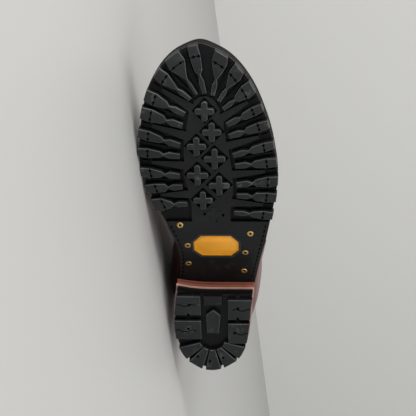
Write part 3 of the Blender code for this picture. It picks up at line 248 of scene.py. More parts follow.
# Upper over the ankle and leg: back along the sole, its height as a share of the way from the
# heel seat to the shaft's top, front along the sole, its height as a share of the way from the
# last foot section to the shaft's top, girth as a share of the ball width
SHAFT_SECTIONS = (
    (0.005, 0.0729, 0.338, 0.0590, 0.330),
    (0.008, 0.1358, 0.336, 0.1189, 0.334),
    (0.023, 0.1998, 0.336, 0.1745, 0.340),
    (0.038, 0.2638, 0.338, 0.2301, 0.350),
    (0.046, 0.3267, 0.341, 0.2900, 0.364),
    (0.046, 0.4033, 0.346, 0.3584, 0.382),
    (0.036, 0.4925, 0.353, 0.4397, 0.404),
    (0.021, 0.5931, 0.361, 0.5381, 0.428),
    (0.008, 0.6948, 0.370, 0.6493, 0.450),
    (0.000, 0.7965, 0.379, 0.7605, 0.468),
    (-0.005, 0.8983, 0.385, 0.8760, 0.482),
    (-0.008, 1.0000, 0.389, 1.0000, 0.490),
)
LEG_CENTRE = 0.030
SHAFT_WIDEST = 0.49
# Distance from the sole's edge to the feather line: along the sole, share of the ball width
FEATHER_INSET = ((0.0, 0.034), (0.25, 0.034), (0.42, 0.047), (0.60, 0.070), (1.0, 0.072))
THROAT_START = 9.0
# Upper edge of the heel counter: along the sole, height as a share of the shaft's top
COUNTER_EDGE = ((0.37, 0.10), (0.34, 0.155), (0.26, 0.205), (0.15, 0.245),
                (0.05, 0.268), (-0.06, 0.275))
FOOT_STEPS = (0, 0.5, 1, 1.6, 2.3, 3, 4, 5, 6, 7, 8, 9, 10, 11, 12, 13, 14, 15, 16, 17, 18,
              18.6, 19.2, 19.7, 20)
OUTSOLE_TOP = LUG_DEPTH + OUTSOLE_BASE
MIDSOLE_TOP = OUTSOLE_TOP + GAP + MIDSOLE_THICKNESS
WELT_TOP = MIDSOLE_TOP + GAP + WELT_THICKNESS
FEATHER_LEVEL = WELT_TOP + 2 * GAP
PLATEAU_LEVEL = LUG_DEPTH - PLATEAU_DEPTH
OVERLAY_TOP = GAP + OVERLAY
FITTING_AWAY = THROAT_HALF_WIDTH + EYESTAY_WIDTH * FITTING_SHARE
# Roundings of the rubber and of the leather edges, where cuts in the rubber start, tops of the
# tread's roots, and how much a block widens to its root
TREAD_ROUND = 0.0003
EDGE_ROUND = 0.0004
WELT_ROUND = 0.0006
LIFT_ROUND = 0.0005
CUT_START = -0.001
TREAD_TOP = LUG_DEPTH + LUG_ROOT
HEEL_TREAD_TOP = HEEL_LUG_DEPTH + LUG_ROOT
BLOCK_FLARE = 0.0003
# Angles in degrees over which an edge stays sharp
RUBBER_SHARP = 28.0
LEATHER_SHARP = 50.0
BRASS_SHARP = 40.0
LACE_SHARP = 60.0
# Ribs on the floors of the tread's grooves: height, half width, start and ends as shares of the
# groove, shorter where a tongue of the middle fills it
RIB_HEIGHT = 0.0026
RIB_HALF_WIDTH = 0.0006
RIB_START = 0.07
RIB_END = 0.78
RIB_END_AT_TONGUE = 0.24
# Cross that fades into the waist, in shares of ball width and sole length, its reach and rise
FADING_CROSS = (-0.016, 0.526, 0.056)
FADING_RISE = 0.0006
# Pits beside it, dark marks of painted shade, in the same shares, with their radii, and how far
# they stand out
PITS = ((0.050, 0.5255, 0.0013), (-0.085, 0.522, 0.0013), (-0.037, 0.504, 0.0007))
PIT_PROUD = 0.00008
# Marks are dark solids of painted shade that stand out a hair and reach this far into the rubber
MARK_DEPTH = 0.0006
# Seam channel in the lugs: width, how far it stands out, radius of its holes, points of a run
# that has two of them
CHANNEL_WIDTH = 0.0007
CHANNEL_PROUD = 0.00006
CHANNEL_HOLE = 0.0011
HOLE_PROUD = 0.0001
LONG_RUN = 12
LINE_STEPS = 40
# Stitches along the sole's edge: pitch, length and width, levels from the face they lie on
SEAM_INSET = 0.0042
WAIST_STITCH = (0.0047, 0.0027, 0.0011)
WAIST_SEAM = (BREAST_ALONG + 0.025, 0.487)
WAIST_STITCH_LEVELS = (-0.00012, 0.0004)
WELT_STITCH = (0.0052, 0.0040, 0.0012)
WELT_STITCH_LEVELS = (-0.0003, 0.0005)
# Turned profiles: radius and level from the face that they stand on
NAIL_PROFILE = ((NAIL_HOLE, 0.0009), (NAIL_HOLE, -0.0001), (NAIL_HOLE + 0.0004, -0.0003),
                (NAIL_RADIUS - 0.0006, -0.0003), (NAIL_RADIUS, 0.0001), (NAIL_RADIUS, 0.0009))
EYELET_PROFILE = ((EYELET_HOLE, -0.0004), (EYELET_HOLE, 0.0006), (EYELET_HOLE + 0.0005, 0.0011),
                  (EYELET_RADIUS - 0.0010, 0.0011), (EYELET_RADIUS, 0.0003),
                  (EYELET_RADIUS, -0.0004))
# Badge: how far its face lies in, its rounding, the line round its face and the rubber rim
BADGE_SINK = 0.0004
BADGE_ROUND = 0.0005
BADGE_ROUND_DEPTH = 0.0004
BADGE_LINE = (0.0030, 0.0044)
BADGE_LINE_RISE = 0.0003
BADGE_RIM = (0.0030, -0.0006)
BADGE_RIM_LEVELS = (-0.0004, 0.0009)
# Heel's pad between its blocks, low pips and holes in the blocks, in metres
HEEL_PAD = ((-0.0075, 0.070), (0.0095, 0.070), (0.0095, 0.0795), (-0.0075, 0.0795))
HEEL_PAD_LEVEL = 0.0022
HEEL_PIPS = ((0.0198, 0.0796), (0.0238, 0.0546), (-0.0212, 0.078), (-0.020, 0.0523))
HEEL_PIP_REACH = 0.0028
HEEL_PIP_LEVEL = 0.0034
HEEL_HOLES = ((0.0224, 0.0721), (0.0235, 0.0619), (0.0239, 0.0473), (-0.0215, 0.0688),
              (-0.0213, 0.0579), (-0.0184, 0.0433), (0.0161, 0.0175), (-0.0072, 0.0165),
              (0.0052, 0.0125))
HEEL_HOLE_RADIUS = 0.0013
HEEL_MARK_DEPTH = 0.001
HEEL_CORE_INSET = 0.0006
# Depth over which the heel's mark for wear, painted shade and painted highlights runs
HEEL_WEAR_AND_LIGHT_DEPTH = HEEL_LUG_DEPTH * 1.1
# Wavy slits of the heel's side blocks: side, rear and front of the block
HEEL_SLITS = ((1, 0.061, 0.082), (1, 0.035, 0.055), (-1, 0.056, 0.078), (-1, 0.031, 0.053))
SLIT_START = 0.0165
SLIT_SHARES = (0.0, 0.2, 0.4, 0.6, 0.8, 0.97)
SLIT_WAVE = 0.0012
SLIT_TURNS = 9.0
SLIT_WIDTH = 0.0008
SLIT_PROUD = 0.00008
# Pale leaf over the top piece: taper, how far it stands out, its levels from the top piece
JOINT_TAPER = 0.5
JOINT_PROUD = 0.0001
JOINT_FRONT = 0.0006
JOINT_FRONT_START = 0.07
JOINT_LEVELS = (-0.0004, 0.0008)
# Cells of the leather grid across a side, an eyestay and half the throat
FINE_SIDE = 24
FINE_STAY = 5
FINE_THROAT = 5
SECTION_SAMPLES = 40
# Sections that are evened out where foot and leg meet, and by how much
SOFT_STATIONS = (15.0, 25.0)
SOFT_SHARE = 0.6
SOFT_ROUNDS = 2
# Creases of the leather: side (0 both), station, half width in stations, share of the half
# section at its middle, half width in shares, depth as a share of the crease size
CREASES = (
    (0, 10.4, 0.55, 0.86, 0.30, 0.9),
    (0, 11.6, 0.60, 0.80, 0.32, 1.0),
    (1, 12.9, 0.55, 0.62, 0.28, 0.8),
    (-1, 12.6, 0.60, 0.66, 0.30, 0.9),
    (0, 16.6, 0.60, 0.62, 0.30, 1.1),
    (0, 18.0, 0.55, 0.55, 0.34, 1.4),
    (1, 19.3, 0.50, 0.50, 0.32, 1.5),
    (-1, 19.2, 0.55, 0.46, 0.34, 1.6),
    (0, 21.0, 0.34, 0.30, 0.42, 1.6),
    (1, 22.1, 0.40, 0.42, 0.40, 1.3),
    (-1, 22.3, 0.36, 0.38, 0.36, 1.3),
    (1, 24.2, 0.45, 0.30, 0.36, 1.0),
    (-1, 24.6, 0.50, 0.44, 0.34, 1.0),
    (0, 27.3, 0.55, 0.50, 0.30, 0.6),
)
# A crease's soft ridge beside its trough: height and place
CREASE_RIDGE = 0.45
CREASE_RIDGE_PLACE = 1.3
OVERLAY_ROUND = 0.0005
# Stitches of the upper: thickness, share of the pitch, and height where no overlay lies
THREAD_WIDTH = 0.0008
STITCH_SHARE = 0.62
THREAD_LIFT = 0.0001
# Seams along the eyestay: grid column and share of the way to the next column
STAY_SEAMS = ((FINE_SIDE, 0.288), (FINE_SIDE, 0.672), (FINE_SIDE + FINE_STAY, -0.288))
BACK_SEAM_SHARE = 0.22
# Double seam between vamp and quarter, from the throat down to the sole
VAMP_SEAM_STEPS = 60
VAMP_SEAM_GAP = 0.26
VAMP_SEAM_START = -0.35
VAMP_SEAM_REACH = 4.6
VAMP_SEAM_BOW = 1.5
# Back stay and its seam start at stations past the heel; the heel counter is cut from a layer
# between a station and another past the heel
BACK_STAY_START = 3
BACK_STAY_CELLS = 2
BACK_SEAM_START = 3.3
COUNTER_STATIONS = (11, 4)
# Lace: level over the leather, how runs clear each other where they cross, and how they dip
# at eyelets, at hooks and under the stays
LACE_LEVEL = OVERLAY_TOP + LACE_THICKNESS * 0.55
LACE_LIE = 0.0004
LACE_CROSSING = 0.0009
LACE_CROSSING_SPREAD = 0.13
LACE_DIVE = 0.0022
LACE_ARCH = 0.0012
LACE_SINK = 0.0011
LACE_END_SINK = 0.0062
LACE_RISE_END = 0.12
LACE_LIE_END = 0.22
LACE_SINK_START = 0.74
LACE_THROUGH = 0.0024
LACE_BAR_DIVE = 0.1
HOOK_SLACK = 0.001
LACE_SIDES = 10
EYELET_RUN_STEPS = 22
HOOK_RUN_STEPS = 18
EYELET_HOLE_LEVELS = (-0.0003, 0.0001)
# Rings of a hook's strip: across as a share of its width, and size
HOOK_RINGS = ((-0.5, 0.94), (-0.42, 1.0), (0.42, 1.0), (0.5, 0.94))
# Colours of the details, linear
# Painted shade in holes, slits and the seam channel of the rubber
HOLE_PAINTED_SHADE = (0.0015, 0.0015, 0.0015)
# Painted shade inside the eyelets' holes
EYELET_HOLE_PAINTED_SHADE = (0.004, 0.002, 0.002)
DUST_SHADE = (0.085, 0.088, 0.088)
# Painted highlight along the rounded edges of the lugs
EDGE_HIGHLIGHT_SHADE = (0.13, 0.134, 0.134)
BADGE_RIM_SHADE = (0.010, 0.010, 0.011)
WELT_THREAD_SHADE = (0.30, 0.17, 0.085)
INSOLE_SHADE = (0.30, 0.17, 0.09)
LINING_SHADE = (0.20, 0.095, 0.045)
JOINT_SHADE = (0.50, 0.30, 0.24)
EDGE_SHINE = 0.15
# Tone of each lift against the heel leather
LIFT_TONES = ((1.0, 1.0, 1.0), (0.73333, 0.64706, 0.66667), (0.83333, 0.8, 0.75556))
# Stage: half width of floor and wall, ends of the floor, height of the wall
STAGE_REACH = 2.5
STAGE_FRONT = -2.6
STAGE_BACK = 1.6
STAGE_HEIGHT = 3.0
STAGE_OVERLAP = -0.01
FLOOR_SHADE = (0.44, 0.432, 0.41)
WALL_SHADE = (0.66, 0.65, 0.615)
ROOM_SHADE = (0.95, 0.97, 1.0, 1.0)
ROOM_POWER = 0.72
# Lamps of the stage: name, place, power and width
LIGHTS = (
    ("window", (-1.5, -0.75, 0.75), 24.0, 0.9),
    ("fill", (0.5, -2.2, 1.3), 12.0, 1.0),
    ("top", (-0.2, 0.3, 2.2), 10.0, 1.2),
)
LAMP_TARGET = (0.0, 0.16, 0.0)
# Camera in the boot's standing frame
CAMERA_PLACE = (-0.0539, 0.4931, -0.7308)
CAMERA_AHEAD = (0.0, -0.4067, 0.9135)
CAMERA_UP = (0.0, 0.9135, 0.4067)
CAMERA_AIM = 0.0706
CAMERA_LENS = 80.9
CAMERA_SENSOR = 36.0


def on_sole(x, y):
    """Point of the sole from its shares of ball width and sole length."""
    return Vector((x * BALL_WIDTH, y * SOLE_LENGTH))


def spline_point(p0, p1, p2, p3, t):
    """Point at t on the smooth curve from p1 to p2."""
    return 0.5 * (2 * p1 + (p2 - p0) * t + (2 * p0 - 5 * p1 + 4 * p2 - p3) * t * t
                  + (3 * p1 - p0 - 3 * p2 + p3) * t ** 3)


def distances(points):
    """Distance of each point along a line from its first."""
    reach = [0.0]
    for before, after in zip(points, points[1:]):
        reach.append(reach[-1] + (after - before).length)
    return reach


def locate(reach, wanted):
    """Index and share of the step of a line in which a distance along it falls."""
    index = min(max(bisect.bisect_left(reach, wanted), 1), len(reach) - 1)
    step = reach[index] - reach[index - 1]
    return index, 0.0 if step < 1e-12 else min((wanted - reach[index - 1]) / step, 1.0)


def closed_curve(points, steps):
    """Smooth closed curve through points, as a list of points."""
    count = len(points)
    curve = []
    for index in range(count):
        around = [points[(index + shift) % count] for shift in (-1, 0, 1, 2)]
        curve += [spline_point(*around, step / steps) for step in range(steps)]
    return curve


def sole_points():
    """Edge points of the sole: heel rear, inner side, toe tip, outer side."""
    inner = [on_sole(x, y) for y, x, _ in SOLE_EDGE]
    outer = [on_sole(x, y) for y, _, x in reversed(SOLE_EDGE)]
    return [on_sole(*HEEL_REAR)] + inner + [on_sole(*TOE_TIP)] + outer


def inward(loop, distance):
    """Loop moved inwards by a distance, or by a function of each point."""
    count = len(loop)
    moved = []
    for index, point in enumerate(loop):
        along = loop[(index + 1) % count] - loop[index - 1]
        normal = Vector((-along.y, along.x)).normalized()
        size = distance(point) if callable(distance) else distance
        moved.append(point + normal * size)
    return moved


def sole_loop(inset=0.0, steps=2):
    """Outline of the sole, moved inwards."""
    return inward(closed_curve(sole_points(), steps), inset)


def lift(y):
    """Height that bending adds to the flat sole at y."""
    along = y / SOLE_LENGTH
    if along > SPRING_START:
        return TOE_SPRING * ((along - SPRING_START) / (1 - SPRING_START)) ** 2
    if along > WAIST_FRONT:
        return 0.0
    length = (WAIST_FRONT - WAIST_BACK) * SOLE_LENGTH
    t = (WAIST_FRONT * SOLE_LENGTH - y) / length
    if t > 1.0:
        return SEAT_RISE + (t - 1.0) * length * SEAT_PITCH
    return SEAT_RISE * (3 * t * t - 2 * t ** 3) + SEAT_PITCH * length * (t ** 3 - t * t)


def join_rings(bm, rings, closed=False):
    """Quads from each ring of vertices to the next, and back to the first if closed."""
    following = rings[1:] + rings[:1] if closed else rings[1:]
    for first, second in zip(rings, following):
        for index in range(len(first)):
            after = (index + 1) % len(first)
            bm.faces.new((first[index], first[after], second[after], second[index]))


def level_rings(bm, rings):
    """Rings of vertices from loops and their levels."""
    return [[bm.verts.new((p.x, p.y, level)) for p in loop] for loop, level in rings]


def tube(bm, rings):
    """Closed solid through rings of vertices."""
    join_rings(bm, rings)
    bm.faces.new(list(reversed(rings[0])))
    bm.faces.new(rings[-1])


def prism(bm, rings):
    """Closed solid through rings of equal count, each a loop and its level."""
    tube(bm, level_rings(bm, rings))


def upright(bm, loop, low, high):
    """Closed solid straight up from a loop."""
    prism(bm, [(loop, low), (loop, high)])


def slab(bm, loop, low, high, rounding):
    """Closed slab with rounded edges."""
    soft = inward(loop, rounding)
    prism(bm, [(soft, low), (loop, low + rounding), (loop, high - rounding), (soft, high)])


def ring_solid(bm, rings):
    """Closed ring through loops of equal count, each with its level."""
    join_rings(bm, level_rings(bm, rings), True)


def ring_prism(bm, outer, inner, low, high):
    """Closed flat ring between two loops of equal count."""
    ring_solid(bm, ((outer, low), (outer, high), (inner, high), (inner, low)))


def lathe(bm, centre, profile, sides):
    """Closed turned ring from a profile of radius and level round a centre."""
    ring_solid(bm, [(circle(centre, radius, sides), level) for radius, level in profile])


def sole_stations():
    """Places along the sole where its pieces are cut before they are bent."""
    spring = [SPRING_START + (1 - SPRING_START) * step / 9 for step in range(9)]
    waist = [WAIST_BACK + (WAIST_FRONT - WAIST_BACK) * step / 8 for step in range(9)]
    return waist + spring


def cut_across(bm, along):
    """Cut a flat sole piece at a place along the sole."""
    geometry = bm.verts[:] + bm.edges[:] + bm.faces[:]
    bmesh.ops.bisect_plane(bm, geom=geometry, dist=1e-7, plane_co=(0, along * SOLE_LENGTH, 0),
                           plane_no=(0, 1, 0))


def bend_only(bm):
    """Lift small pieces to the bent sole without cutting them."""
    for vert in bm.verts:
        vert.co.z += lift(vert.co.y)


def bend(bm):
    """Cut a flat sole piece at stations and lift it to the bent sole."""
    for along in sole_stations():
        cut_across(bm, along)
    bend_only(bm)


def combine(first, second, operation):
    """Boolean of two bmeshes, as a new bmesh."""
    objects = []
    for bm in (first, second):
        bmesh.ops.recalc_face_normals(bm, faces=bm.faces)
        mesh = bpy.data.meshes.new("piece")
        bm.to_mesh(mesh)
        bm.free()
        made = bpy.data.objects.new("piece", mesh)
        bpy.context.collection.objects.link(made)
        objects.append(made)
    cut = objects[0].modifiers.new("cut", "BOOLEAN")
    cut.operation = operation
    cut.object = objects[1]
    bpy.context.view_layer.update()
    result = bmesh.new()
    result.from_object(objects[0], bpy.context.evaluated_depsgraph_get())
    for made in objects:
        bpy.data.objects.remove(made)
    bmesh.ops.remove_doubles(result, verts=result.verts, dist=1e-6)
    return result


class SoleEdge:
    """Walk along the forepart's edge from the toe tip."""

    def __init__(self):
        steps = 12
        loop = closed_curve(sole_points(), steps)
        tip = steps * (len(SOLE_EDGE) + 1)
        self.sides = {}
        for side, step in ((1, -1), (-1, 1)):
            points = [loop[tip]]
            index = tip
            while points[-1].y > WAIST_FRONT * SOLE_LENGTH:
                index += step
                points.append(loop[index % len(loop)])
            self.sides[side] = (points, distances(points))

    def at(self, side, share, shift=0.0):
        """Edge point at a share of the forepart's edge, plus a length along it."""
        points, reach = self.sides[side]
        wanted = share * reach[-1] + shift
        if wanted < 0.0:
            return self.at(-side, 0.0, -wanted)
        index, part = locate(reach, wanted)
        return points[index - 1].lerp(points[index], part)


def lug_outline(edge, row):
    """Outline of a lug: block at the edge, neck and inner leaf."""
    side, place, wide, kink, leaf, end_x, end_y = row
    half = wide * BALL_WIDTH / 2
    start = edge.at(side, place)
    end = on_sole(end_x, end_y)
    axis = end - start
    across = Vector((-axis.y, axis.x)).normalized() * side
    stations = (
        (0.24, half * 0.94),
        (0.52, kink * BALL_WIDTH / 2),
        (0.61, LUG_NECK),
        (0.75, leaf * BALL_WIDTH / 2),
        (1.0, leaf * BALL_WIDTH * 0.39),
    )
    outline = [edge.at(side, place, LUG_CORNER - half), start,
               edge.at(side, place, half - LUG_CORNER)]
    far = [start + axis * share - across * width for share, width in stations]
    near = [start + axis * share + across * width for share, width in stations]
    first = (outline[-1] - start).dot(across)
    if first > 0:
        return outline + near + list(reversed(far))
    return outline + far + list(reversed(near))


def cross_outline(centre, reach):
    """Four-armed cross with chamfered ends."""
    loop = []
    for quarter in range(4):
        turn = Matrix.Rotation(math.pi / 2 * quarter, 2)
        for x, y in ((reach - CROSS_CHAMFER, -CROSS_ARM), (reach, -CROSS_ARM + CROSS_CHAMFER),
                     (reach, CROSS_ARM - CROSS_CHAMFER), (reach - CROSS_CHAMFER, CROSS_ARM),
                     (CROSS_ARM, CROSS_ARM)):
            loop.append(centre + turn @ Vector((x, y)))
    return loop


def lug_rows(side):
    """Lugs of one side, from the toe to the waist."""
    return [row for row in LUGS if row[0] == side]


def plateau_outline(edge):
    """Middle of the tread with its tongues between the lugs."""
    sides = []
    for side in (1, -1):
        rows = lug_rows(side)
        points = []
        for index, row in enumerate(rows):
            end = on_sole(*row[5:])
            along = (end - edge.at(side, row[1])).normalized()
            points.append(end + along * END_GROOVE)
            if index in TONGUE_AFTER:
                after = rows[index + 1]
                root = (end + on_sole(*after[5:])) / 2
                tip_edge = (edge.at(side, row[1]) + edge.at(side, after[1])) / 2
                axis = (tip_edge - root).normalized()
                across = Vector((-axis.y, axis.x)) * side
                tip = root + (tip_edge - root) * TONGUE_REACH
                base = root - axis * END_GROOVE
                points += [base + across * TONGUE_ROOT, root + across * TONGUE_ROOT,
                           tip + across * TONGUE_TIP, tip - across * TONGUE_TIP,
                           root - across * TONGUE_ROOT, base - across * TONGUE_ROOT]
        back = Vector((points[-1].x, MIDDLE_BACK * SOLE_LENGTH))
        points.append(back)
        sides.append(points)
    inner, outer = sides
    # From the inner waist over the toe to the outer waist
    loop = list(reversed(inner)) + outer
    rear = WAIST_FRONT * SOLE_LENGTH - MIDDLE_OVERLAP
    loop += [Vector((outer[-1].x, rear)), Vector((inner[-1].x, rear))]
    return loop


def waist_outline():
    """Waist and heel seat of the outsole, behind the lugs."""
    front = WAIST_END * SOLE_LENGTH
    loop = [p for p in sole_loop(EDGE_STEP + EDGE_ROUND, 6) if p.y < front]
    split = max(range(len(loop)), key=lambda k: (loop[k] - loop[k - 1]).length)
    loop = loop[split:] + loop[:split]
    first, last = loop[0], loop[-1]
    bridge = [Vector((last.x + (first.x - last.x) * t, front)) for t in (0.0, 0.25, 0.5, 0.75, 1.0)]
    if bridge[0].y - last.y < 0.0005:
        bridge[0].y = last.y + 0.0005
    return loop[::3] + bridge


def octagon(centre, width, length):
    """Plate outline with cut corners."""
    corner = min(width, length) * 0.29
    half_w = width / 2
    half_l = length / 2
    corners = ((half_w, half_l - corner), (half_w - corner, half_l),
               (corner - half_w, half_l), (-half_w, half_l - corner),
               (-half_w, corner - half_l), (corner - half_w, -half_l),
               (half_w - corner, -half_l), (half_w, corner - half_l))
    return [centre + Vector(corner_point) for corner_point in corners]


def circle(centre, radius, sides):
    """Loop of points round a centre."""
    return [centre + Vector((math.cos(a), math.sin(a))) * radius
            for a in (2 * math.pi * k / sides for k in range(sides))]


def badge_outline(more=0.0):
    """Outline of the badge, made wider and longer by a size."""
    return octagon(on_sole(*BADGE_CENTRE), BADGE_WIDTH + more, BADGE_LENGTH + more)


def nail_places():
    """Centres of the nails in the waist."""
    return [on_sole(x, y) for x, y in NAILS]


def heel_loop(inset):
    """Outline of the heel block behind its breast."""
    loop = sole_loop(inset, 6)

    def breast(x):
        """Curved front of the heel at x."""
        sweep = max(0.0, (x - 0.004) / (0.3 * BALL_WIDTH))
        return BREAST_ALONG * SOLE_LENGTH + BREAST_SWEEP * sweep ** 2

    back = [p for p in loop if p.y < breast(p.x) - 0.002]
    split = max(range(len(back)), key=lambda k: (back[k] - back[k - 1]).length)
    back = back[split:] + back[:split]
    first, last = back[0], back[-1]
    back = back[::3] if (len(back) - 1) % 3 == 0 else back[::3] + [last]
    front = []
    for step in range(7):
        x = last.x + (first.x - last.x) * step / 6
        front.append(Vector((x, breast(x))))
    return back + front


def heel_blocks(loop):
    """Tread blocks of the top piece, as closed loops of points."""
    def side_block(side, x_in, low, high):
        """Block from an inner end out to the edge."""
        edge_points = [p for p in loop if low < p.y < high and p.x * side > x_in * side]
        edge_points.sort(key=lambda p: p.y)
        bottom = edge_at(loop, side, low)
        top = edge_at(loop, side, high)
        return [Vector((x_in, low)), bottom] + edge_points + [top, Vector((x_in, high))]

    blocks = [side_block(side, across * BALL_WIDTH, low * SOLE_LENGTH, high * SOLE_LENGTH)
              for side, across, low, high in HEEL_BLOCKS]
    blocks.append([on_sole(x, y) for x, y in HEEL_LEAF])
    centre = on_sole(*FAN_CENTRE)
    first, last = (math.radians(angle) for angle in FAN_SWEEP)
    for number in range(FAN_BLOCKS):
        start = first + (last - first) * number / FAN_BLOCKS + FAN_SLIT
        end = first + (last - first) * (number + 1) / FAN_BLOCKS - FAN_SLIT
        angles = [start + (end - start) * t / 3 for t in range(4)]
        rim = [ray_to_loop(loop, centre, angle) for angle in angles]
        hub = [centre + Vector((math.cos(a), math.sin(a))) * FAN_HUB * BALL_WIDTH for a in angles]
        blocks.append(hub + list(reversed(rim)))
    return blocks


def edge_at(loop, side, y):
    """Point of a loop at y, on one side."""
    best = None
    for before, after in zip(loop, loop[1:] + loop[:1]):
        if (before.y - y) * (after.y - y) <= 0 and before.y != after.y:
            point = before.lerp(after, (y - before.y) / (after.y - before.y))
            if best is None or point.x * side > best.x * side:
                best = point
    return best


def ray_to_loop(loop, centre, angle):
    """Where a ray from the centre meets a loop."""
    direction = Vector((math.cos(angle), math.sin(angle)))
    nearest = None
    for before, after in zip(loop, loop[1:] + loop[:1]):
        edge = after - before
        cross = direction.x * edge.y - direction.y * edge.x
        if abs(cross) < 1e-12:
            continue
        gap = before - centre
        distance = (gap.x * edge.y - gap.y * edge.x) / cross
        share = (gap.x * direction.y - gap.y * direction.x) / cross
        if distance > 0 and -1e-6 <= share <= 1 + 1e-6:
            if nearest is None or distance < nearest:
                nearest = distance
    return centre + direction * nearest


def smooth_table(knots, values, x):
    """Monotone cubic interpolation."""
    index = min(max(bisect.bisect_right(knots, x), 1), len(knots) - 1)
    k = index - 1

    def slope(i):
        """Slope at a knot that adds no hump."""
        if i == 0:
            return (values[1] - values[0]) / (knots[1] - knots[0])
        if i == len(knots) - 1:
            return (values[-1] - values[-2]) / (knots[-1] - knots[-2])
        before = (values[i] - values[i - 1]) / (knots[i] - knots[i - 1])
        after = (values[i + 1] - values[i]) / (knots[i + 1] - knots[i])
        if before * after <= 0:
            return 0.0
        return 2 * before * after / (before + after)

    step = knots[k + 1] - knots[k]
    t = (x - knots[k]) / step
    m0, m1 = slope(k) * step, slope(k + 1) * step
    return ((2 * t ** 3 - 3 * t * t + 1) * values[k] + (t ** 3 - 2 * t * t + t) * m0
            + (3 * t * t - 2 * t ** 3) * values[k + 1] + (t ** 3 - t * t) * m1)


def feather_inset(point):
    """Distance of the feather line from the sole's edge at a point."""
    along = min(max(point.y / SOLE_LENGTH, 0.0), 1.0)
    knots = [place for place, _ in FEATHER_INSET]
    return smooth_table(knots, [inset for _, inset in FEATHER_INSET], along) * BALL_WIDTH


class Last:
    """Outer surface of the upper, from toe to collar."""

    def __init__(self):
        steps = 24
        loop = inward(closed_curve(sole_points(), steps), feather_inset)
        tip = steps * (len(SOLE_EDGE) + 1)
        self.inner = loop[:tip + 1]
        self.outer = [loop[0]] + list(reversed(loop[tip:]))
        self.tip = loop[tip]
        self.rear = loop[0]
        foot = len(FOOT_SECTIONS)
        self.heel = float(foot - 1)
        rows = []
        for bottom, top, height, girth, ridge, widest, crown in FOOT_SECTIONS:
            top_y = top * SOLE_LENGTH
            rise = lift(max(top_y, WAIST_FRONT * SOLE_LENGTH))
            rows.append((bottom * SOLE_LENGTH, 0.0, top_y,
                         FEATHER_LEVEL + rise + height * INSTEP_RISE,
                         girth * BALL_WIDTH, ridge * BALL_WIDTH, widest, crown))
        seat = FEATHER_LEVEL + lift(0.0)
        ankle = FEATHER_LEVEL + FOOT_SECTIONS[-1][2] * INSTEP_RISE
        for back, back_rise, front, front_rise, girth in SHAFT_SECTIONS:
            rows.append((back * SOLE_LENGTH, seat + (SHAFT_TOP - seat) * back_rise,
                         front * SOLE_LENGTH, ankle + (SHAFT_TOP - ankle) * front_rise,
                         girth * BALL_WIDTH, 0.0, SHAFT_WIDEST, 1.0))
        rows[foot - 1] = (self.rear.y, FEATHER_LEVEL + lift(self.rear.y)) + rows[foot - 1][2:]
        rows[0] = (self.tip.y, 0.0, self.tip.y) + rows[0][3:]
        rows[0] = rows[0][:3] + (FEATHER_LEVEL + lift(self.tip.y),) + rows[0][4:]
        self.rows = rows
        self.columns = list(zip(*rows))
        self.end = float(len(rows) - 1)

    def feather(self, side, y):
        """Feather edge across at y."""
        points = self.inner if side > 0 else self.outer
        if y <= points[0].y:
            return points[0].x
        if y >= points[-1].y:
            return points[-1].x
        low, high = 0, len(points) - 1
        while high - low > 1:
            mid = (low + high) // 2
            if points[mid].y <= y:
                low = mid
            else:
                high = mid
        part = (y - points[low].y) / max(points[high].y - points[low].y, 1e-9)
        return points[low].x + (points[high].x - points[low].x) * part

    def column(self, index, s):
        """Value of one column of the section table at a station."""
        return smooth_table(list(range(len(self.rows))), self.columns[index], s)

    def half_section(self, s, side):
        """Half of a section from its bottom or back to its ridge."""
        foot = s <= self.heel
        back_y = self.column(0, s)
        if foot:
            back_y = min(max(back_y, self.rear.y), self.tip.y)
            back_z = FEATHER_LEVEL + lift(back_y)
            inner, outer = self.feather(1, back_y), self.feather(-1, back_y)
        else:
            part = min(s - self.heel, 1.0)
            back_z = self.column(1, s)
            centre_x = self.rear.x + (LEG_CENTRE * BALL_WIDTH - self.rear.x) * part
            inner = outer = centre_x
        centre = (inner + outer) / 2
        flat = (inner - outer) / 2
        front_y, front_z = self.column(2, s), self.column(3, s)
        if s < 8.0:
            front_y = back_y
        height = Vector((0.0, front_y - back_y, front_z - back_z))
        wide = math.hypot(flat, self.column(4, s))
        ridge, widest, crown = self.column(5, s), self.column(6, s), self.column(7, s)
        base = Vector((centre, back_y, back_z))
        points = []
        lower = SECTION_SAMPLES // 2
        for k in range(SECTION_SAMPLES + 1):
            if k < lower:
                angle = math.pi / 2 * k / lower
                x = flat + (wide - flat) * math.sin(angle)
                v = widest * (1 - math.cos(angle))
            else:
                angle = math.pi / 2 * (k - lower) / (SECTION_SAMPLES - lower)
                x = wide * max(math.cos(angle), 0.0) ** crown
                v = widest + (1 - widest) * math.sin(angle)
            if k == SECTION_SAMPLES:
                x = 0.0
            points.append(base + height * v + Vector((side * x + ridge * v ** 1.5, 0.0, 0.0)))
        return points

    def along(self, s, side):
        """Half section with the distance of each point from its bottom."""
        points = self.half_section(s, side)
        return points, distances(points)


def point_at(points, reach, share):
    """Point of a line at a share of its length."""
    index, part = locate(reach, share * reach[-1])
    return points[index - 1].lerp(points[index], part)


def throat_share(length, distance):
    """Share of a half section at a distance from the ridge, less where the section is short."""
    if length < 3 * distance:
        return 1.0 - distance / (length + distance)
    return 1.0 - distance / length


def surface_frame(last, s, side, distance):
    """Point at a distance from the ridge, with its outward normal and the way to the collar."""
    def place(station, away):
        """Point at a station and a distance from the ridge."""
        points, reach = last.along(station, side)
        return point_at(points, reach, 1.0 - away / reach[-1])

    step = 0.05
    nudge = 0.002
    point = place(s, distance)
    upwards = (place(min(s + step, last.end), distance) - place(s - step, distance)).normalized()
    across = (place(s, max(distance - nudge, 0.0)) - place(s, distance + nudge)) * side
    return point, across.cross(upwards).normalized(), upwards


